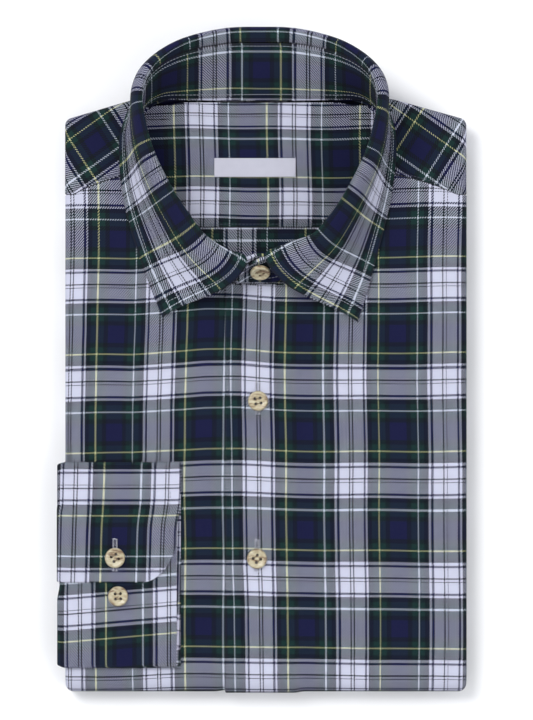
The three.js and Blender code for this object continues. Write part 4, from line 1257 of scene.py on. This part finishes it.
def recess_cutter():
    """A block in the place of the neck's recess."""
    side = INNER_HALF_X + RECESS_MARGIN
    x = (NECK_X - side, NECK_X + side)
    y = (PANEL_END_Y - RECESS_MARGIN, PANEL_END_Y + RECESS_BACK)
    z = (INNER_Z - CLOTH - PLY_GAP, INNER_Z + RECESS_TOP)
    corners = [(x[0], y[0]), (x[1], y[0]), (x[1], y[1]), (x[0], y[1])]
    points = [(*corner, level) for level in z for corner in corners]
    faces = [(3, 2, 1, 0), (4, 5, 6, 7), (0, 1, 5, 4), (1, 2, 6, 5), (2, 3, 7, 6), (3, 0, 4, 7)]
    return make_mesh("recess", points, faces)


def cut_away(piece, cutter):
    cut = piece.modifiers.new("cut", "BOOLEAN")
    cut.operation = "DIFFERENCE"
    cut.solver = "EXACT"
    cut.object = cutter
    bake_modifiers(piece)


def make_hidden_layers():
    slabs = [slab(*row, number) for number, row in enumerate(PLIES)]
    cutter = recess_cutter()
    for piece in slabs[:2]:
        cut_away(piece, cutter)
    bpy.data.objects.remove(cutter)
    joined = join_pieces("folded_layers_cloth", slabs)
    dress(joined, FLANNEL, "hidden_cloth", "folded_layers")


def bake_modifiers(piece):
    """Replace a piece's mesh by what its modifiers make of it."""
    depsgraph = bpy.context.evaluated_depsgraph_get()
    made = bpy.data.meshes.new_from_object(piece.evaluated_get(depsgraph), depsgraph=depsgraph)
    piece.modifiers.clear()
    if piece.type == "MESH":
        piece.data = made
        return piece
    name = piece.name
    bpy.data.objects.remove(piece)
    plain = bpy.data.objects.new(name, made)
    bpy.context.scene.collection.objects.link(plain)
    return plain


def join_pieces(name, pieces):
    with bpy.context.temp_override(active_object=pieces[0], object=pieces[0], selected_objects=pieces,
                                   selected_editable_objects=pieces):
        bpy.ops.object.join()
    pieces[0].name = name
    return pieces[0]


# Stitches and threads by geometry nodes

class Recipe(Book):
    """A geometry node tree being built, with named inputs."""

    def __init__(self, name, numbers):
        super().__init__(bpy.data.node_groups.new(name, "GeometryNodeTree"))
        face = self.tree.interface
        face.new_socket("Geometry", in_out="INPUT", socket_type="NodeSocketGeometry")
        for label in numbers:
            face.new_socket(label, in_out="INPUT", socket_type="NodeSocketFloat")
        face.new_socket("Thread", in_out="INPUT", socket_type="NodeSocketMaterial")
        face.new_socket("Geometry", in_out="OUTPUT", socket_type="NodeSocketGeometry")
        self.inputs = self.node("NodeGroupInput")

    def given(self, label):
        return self.inputs.beside(label)

    def sized(self, shape, wide, long):
        size = self.node("ShaderNodeCombineXYZ", None, {0: wide, 1: wide, 2: long})
        return self.node("GeometryNodeTransform", None, {"Geometry": shape, "Scale": size})

    def finish(self, shape):
        real = self.node("GeometryNodeRealizeInstances", None, {"Geometry": shape})
        coloured = self.node("GeometryNodeSetMaterial", None, {
            "Geometry": real, "Material": self.given("Thread")})
        self.node("NodeGroupOutput", None, {"Geometry": coloured})
        return self.tree


def stitch_tree():
    """Running stitches: one small rounded thread at every step along each curve."""
    make = Recipe("running_stitches", ("Step", "Stitch length", "Thread width"))
    spots = make.node("GeometryNodeCurveToPoints", {"mode": "LENGTH"}, {
        "Curve": make.given("Geometry"), "Length": make.given("Step")}, "Points")
    bead = make.node("GeometryNodeMeshUVSphere", None, {"Segments": 6, "Rings": 5, "Radius": 0.5})
    stitch = make.sized(bead, make.given("Thread width"), make.given("Stitch length"))
    return make.finish(make.node("GeometryNodeInstanceOnPoints", None, {
        "Points": spots, "Instance": stitch, "Rotation": spots.beside("Rotation")}))


def cord_tree():
    """A round thread along each curve."""
    make = Recipe("laid_thread", ("Thread width",))
    circle = make.node("GeometryNodeCurvePrimitiveCircle", None, {"Resolution": 6, "Radius": 0.5})
    profile = make.sized(circle, make.given("Thread width"), make.given("Thread width"))
    return make.finish(make.node("GeometryNodeCurveToMesh", None, {
        "Curve": make.given("Geometry"), "Profile Curve": profile, "Fill Caps": True}))


STITCHES = stitch_tree()
LAID_THREAD = cord_tree()


def sew(name, paths, tree, sizes, thread, slot="flannel"):
    """Run a tree over paths of points and keep the result as a plain mesh."""
    curve = bpy.data.curves.new(name, "CURVE")
    curve.dimensions = "3D"
    for path in paths:
        spline = curve.splines.new("POLY")
        spline.points.add(len(path) - 1)
        flat = np.concatenate([np.array(path) * MM, np.ones((len(path), 1))], axis=1)
        spline.points.foreach_set("co", flat.astype(np.float32).ravel())
    piece = bpy.data.objects.new(name, curve)
    bpy.context.scene.collection.objects.link(piece)
    modifier = piece.modifiers.new(name, "NODES")
    modifier.node_group = tree
    values = {**{key: value * MM for key, value in sizes.items()}, "Thread": thread}
    for item in tree.interface.items_tree:
        if item.in_out == "INPUT" and item.name in values:
            modifier[item.identifier] = values[item.name]
    plain = bake_modifiers(piece)
    dress(plain, thread, slot)
    plain.data.shade_smooth()
    return plain


RUNNING = {"Step": 2.1, "Stitch length": 1.75, "Thread width": 0.34}
LABEL_RUNNING = {"Step": 1.3, "Stitch length": 1.0, "Thread width": 0.25}
THREAD_LIFT = 0.12
LABEL_LIFT = 0.08
EDGE_MARGIN = 6.0
STAND_MARGINS = ((1.6, True), (4.2, False))
YOKE_MARGIN = 1.5
INNER_MARGIN = 1.6
LEAF_STITCH_ROW = 20
CORNER_COLUMNS = 24


def lifted(grid, normal, i, j, lift=THREAD_LIFT):
    return grid_point(grid, i, j) + unit(grid_point(normal, i, j)) * lift


def leaf_stitches(leaf):
    """A line of stitches inside the leaf's three free edges."""
    normal = grid_normals(leaf)
    outside = normal * np.sign((normal[:, -10:, 2].mean()) or 1)
    last_column, last_row = leaf.shape[0] - 1, leaf.shape[1] - 1

    def inset(j, far):
        """Column that lies the margin inside one end of the leaf, at a row."""
        columns = range(last_column, last_column - CORNER_COLUMNS, -1) if far else range(CORNER_COLUMNS)
        place = place_at(np.array([grid_point(leaf, i, j) for i in columns]), EDGE_MARGIN)
        return last_column - place if far else place

    def end_line(rows, far):
        for j in rows:
            i = inset(j, far)
            if j <= place_at(leaf[int(i)], EDGE_MARGIN, True):
                path.append(lifted(leaf, outside, i, j))

    path = []
    end_line(np.linspace(LEAF_STITCH_ROW, last_row, 60), False)
    for i in np.linspace(inset(last_row - 4, False), inset(last_row - 4, True), 400):
        path.append(lifted(leaf, outside, i, place_at(leaf[int(i)], EDGE_MARGIN, True)))
    end_line(np.linspace(last_row, LEAF_STITCH_ROW, 60), True)
    sew("leaf_stitches", [path], STITCHES, RUNNING, GREY_THREAD)


def stand_stitches(stand):
    """Stitches below the stand's top edge and above its seam, on the neck side and outside."""
    normal = grid_normals(stand)
    paths = []
    for margin, from_top in STAND_MARGINS:
        inner, outer = [], []
        for i in np.linspace(3, stand.shape[0] - 4, 420):
            j = place_at(stand[int(i)], margin, from_top)
            inner.append(lifted(stand, normal, i, j))
            outer.append(lifted(stand, normal, i, j, -STAND_WALL - THREAD_LIFT))
        paths += [inner, outer]
    sew("stand_stitches", paths, STITCHES, RUNNING, GREY_THREAD)


def cuff_stitches(face):
    """Stitches along the cuff's free edge and the upper lap's edge."""
    normal = grid_normals(face)
    up = normal * np.sign(normal[10, 4, 2] or 1)
    edge = []
    for j in np.linspace(2, 45, 80):
        line = np.array([grid_point(face, i, j) for i in range(0, 16)])
        edge.append(lifted(face, up, place_at(line, EDGE_MARGIN), j))
    lap = []
    for i in np.linspace(0, face.shape[0] - 3, 120):
        start = place_at(face[int(round(i))], EDGE_MARGIN)
        lap.append(lifted(face, up, i, start))
    sew("cuff_stitches", [edge, lap], STITCHES, RUNNING, NAVY_THREAD)


def yoke_stitches(yoke):
    """Stitches beside the forward seams, on the yoke."""
    normal = grid_normals(yoke)
    up = normal * np.sign(normal[5, 3, 2] or 1)
    count = YOKE_STEPS * (FORWARD_STATIONS - 1)
    paths = []
    for span in ((4, count), (yoke.shape[0] - 1 - count, yoke.shape[0] - 5)):
        columns = np.linspace(*span, 90)
        paths.append([lifted(yoke, up, i, place_at(yoke[int(i)], YOKE_MARGIN)) for i in columns])
    sew("yoke_stitches", paths, STITCHES, RUNNING, NAVY_THREAD)


def inner_seam_stitches(inner):
    normal = grid_normals(inner)
    up = normal * np.sign(normal[5, 5, 2] or 1)
    path = [lifted(inner, up, i, place_at(inner[int(i)], INNER_MARGIN))
            for i in np.linspace(2, inner.shape[0] - 3, 160)]
    sew("inner_yoke_stitches", [path], STITCHES, RUNNING, NAVY_THREAD)


def label_stitches(label):
    normal = grid_normals(label)
    up = normal * np.sign(normal[5, 5, 2] or 1)
    ends = [[lifted(label, up, i, j, LABEL_LIFT) for j in np.linspace(1, label.shape[1] - 2, 12)]
            for i in (1.2, label.shape[0] - 2.2)]
    sew("label_stitches", ends, STITCHES, LABEL_RUNNING, WHITE_THREAD, "label")


HOLE_LENGTH = 18.5
HOLE_WIDTH = 2.9
HOLE_ABOVE = 1.7
HOLE_SLIT = 0.35
HOLE_THREAD = 0.42
COLLAR_HOLE_THREAD = 0.34
ZIGZAGS = 2.6


def zigzag(turn=0.0):
    """Thread path of a sewn buttonhole about the origin: zigzags up one side and down the other."""
    path = []
    count = int(HOLE_LENGTH * ZIGZAGS)
    spin = np.array([[math.cos(turn), -math.sin(turn)], [math.sin(turn), math.cos(turn)]])
    for side, run in ((1, range(count)), (-1, range(count, -1, -1))):
        for k in run:
            y = -HOLE_LENGTH / 2 + HOLE_LENGTH * k / count
            for x, z in ((HOLE_SLIT, 0.12), (HOLE_WIDTH / 2, 0.02)):
                path.append((*(spin @ np.array([side * x, y])), z))
    return np.array(path)


def make_buttonholes():
    paths = []
    for _, at, _, _ in BUTTONS[:3]:
        y = at[1] + HOLE_ABOVE
        paths.append(zigzag() + np.array([at[0], y, at[2] + 0.02 + float(relief(at[0], y))]))
    sew("buttonhole_threads", paths, LAID_THREAD, {"Thread width": HOLE_THREAD}, WHITE_THREAD)
    _, at, tilt, _ = BUTTONS[4]
    stand_hole = placed_points(zigzag(math.pi / 2), at, tilt, 0)
    sew("collar_buttonhole_thread", [stand_hole], LAID_THREAD, {"Thread width": COLLAR_HOLE_THREAD},
        NAVY_THREAD)


# Buttons

# Outline of a button from the middle underneath round its rim to the middle on top, as shares of its
# radius and thickness
BUTTON_PROFILE = (
    (0, 0), (0.72, 0), (0.86, 0.06), (0.95, 0.18), (0.99, 0.34), (1.0, 0.5), (0.985, 0.68), (0.95, 0.84),
    (0.9, 0.95), (0.84, 1.0), (0.78, 0.99), (0.72, 0.93), (0.66, 0.86), (0.58, 0.81), (0.48, 0.785),
    (0.3, 0.775), (0, 0.77),
)
BUTTON_SIDES = 72
HOLE_SIDES = 20


def circle(radius, z, count, middle=(0, 0)):
    turns = [2 * math.pi * k / count for k in range(count)]
    return [(middle[0] + radius * math.cos(turn), middle[1] + radius * math.sin(turn), z) for turn in turns]


def band(first, second, count):
    """Faces between two rings of points, by the number of each ring's first point."""
    pairs = [(k, (k + 1) % count) for k in range(count)]
    return [(first + k, first + step, second + step, second + k) for k, step in pairs]


def button_piece(name):
    count = BUTTON_SIDES
    points = [(0, 0, 0)]
    for radius, z in BUTTON_PROFILE[1:-1]:
        points += circle(radius * BUTTON_RADIUS, z * BUTTON_THICK, count)
    points.append((0, 0, BUTTON_PROFILE[-1][1] * BUTTON_THICK))
    rings = len(BUTTON_PROFILE) - 2
    faces = [(0, 1 + (k + 1) % count, 1 + k) for k in range(count)]
    for ring in range(rings - 1):
        faces += band(1 + ring * count, 1 + (ring + 1) * count, count)
    base = 1 + (rings - 1) * count
    faces += [(base + k, base + (k + 1) % count, len(points) - 1) for k in range(count)]
    disc = make_mesh(name, points, faces)
    cutters = []
    for x, y in ((1, 1), (-1, 1), (-1, -1), (1, -1)):
        middle = (x * HOLE_OFFSET, y * HOLE_OFFSET)
        low = circle(HOLE_RADIUS, -BUTTON_THICK, HOLE_SIDES, middle)
        high = circle(HOLE_RADIUS, 2 * BUTTON_THICK, HOLE_SIDES, middle)
        ends = [tuple(range(HOLE_SIDES - 1, -1, -1)), tuple(range(HOLE_SIDES, 2 * HOLE_SIDES))]
        cutters.append(make_mesh("hole", low + high, band(0, HOLE_SIDES, HOLE_SIDES) + ends))
    cutter = join_pieces("holes", cutters)
    cut_away(disc, cutter)
    bpy.data.objects.remove(cutter)
    return disc


def placed_points(points, at, tilt, turn):
    tilt, turn = math.radians(tilt), math.radians(turn)
    spin = np.array([[math.cos(turn), -math.sin(turn), 0], [math.sin(turn), math.cos(turn), 0], [0, 0, 1]])
    lean = np.array([[1, 0, 0], [0, math.cos(tilt), -math.sin(tilt)], [0, math.sin(tilt), math.cos(tilt)]])
    return np.array(points) @ spin.T @ lean.T + np.array(at)


# A thread across a button: x as a share of the hole's offset, and z
BUTTON_STITCH = ((-1, 0.6), (-1, 2.0), (-0.6, 2.35), (0, 2.42), (0.6, 2.35), (1, 2.0), (1, 0.6))
BUTTON_STITCH_SIDE = 0.16
BUTTON_THREAD = 0.2


def make_buttons():
    stitches = []
    for name, at, tilt, turn in BUTTONS:
        piece = button_piece(name + "_horn")
        lift = float(relief(at[0], at[1])) if tilt == 0 else 0
        place = (at[0], at[1], at[2] + lift)
        count = len(piece.data.vertices)
        flat = np.empty(count * 3, dtype=np.float32)
        piece.data.vertices.foreach_get("co", flat)
        moved = placed_points(flat.reshape(-1, 3) / MM, place, tilt, turn) * MM
        piece.data.vertices.foreach_set("co", moved.astype(np.float32).ravel())
        piece.data.update()
        dress(piece, HORN, "horn", name)
        for y in (-HOLE_OFFSET, HOLE_OFFSET):
            for shift in (-BUTTON_STITCH_SIDE, BUTTON_STITCH_SIDE):
                arc = [(share * HOLE_OFFSET, y + shift, z) for share, z in BUTTON_STITCH]
                stitches.append(placed_points(arc, place, tilt, turn))
    sew("button_threads", stitches, LAID_THREAD, {"Thread width": BUTTON_THREAD}, BROWN_THREAD, "horn")


# Stage and light

FLOOR_REACH = 6.0
FLOOR_LEVEL = -0.0004


def make_stage():
    floor = bpy.data.meshes.new("floor")
    signs = ((-1, -1), (1, -1), (1, 1), (-1, 1))
    corners = [(x * FLOOR_REACH, y * FLOOR_REACH, FLOOR_LEVEL) for x, y in signs]
    floor.from_pydata(corners, [], [(0, 1, 2, 3)])
    piece = bpy.data.objects.new("floor", floor)
    bpy.context.scene.collection.objects.link(piece)
    make = Finish("floor")
    grain = make.noise(make.coordinates(), 3.0, 2.0)
    piece.data.materials.append(make.finish({
        "Base Color": make.mix(grain, (0.86, 0.86, 0.87), (0.90, 0.90, 0.90)), "Roughness": 0.8}))


def make_lamp(name, place, size, watts, aim=(0, 0.02, 0.02)):
    data = bpy.data.lights.new(name, "AREA")
    data.shape = "DISK"
    data.size = size
    data.energy = watts
    lamp = bpy.data.objects.new(name, data)
    lamp.location = place
    direction = np.array(aim) - np.array(place)
    from_up = math.acos(-direction[2] / np.linalg.norm(direction))
    lamp.rotation_euler = (from_up, 0, math.atan2(direction[1], direction[0]) - math.pi / 2)
    bpy.context.scene.collection.objects.link(lamp)


def make_light():
    world = bpy.data.worlds.new("studio")
    world.use_nodes = True
    background = world.node_tree.nodes["Background"]
    background.inputs["Color"].default_value = (0.93, 0.95, 1.0, 1)
    background.inputs["Strength"].default_value = 0.75
    bpy.context.scene.world = world
    make_lamp("key", (-0.9, 0.9, 1.9), 1.1, 34)
    make_lamp("fill", (1.3, -0.5, 1.7), 1.6, 14)
    bpy.context.scene.view_settings.view_transform = "Standard"


make_stage()
make_light()
make_hidden_layers()
make_fronts()
yoke_face = make_outer_yoke()
inner_face = make_inner_yoke()
make_back_panel()
label_face = make_label()
stand_face = make_stand()
leaf_face = make_leaf()
cuff_face = make_cuff()
make_sleeve()
make_buttons()
make_buttonholes()
leaf_stitches(leaf_face)
stand_stitches(stand_face)
cuff_stitches(cuff_face)
yoke_stitches(yoke_face)
inner_seam_stitches(inner_face)
label_stitches(label_face)
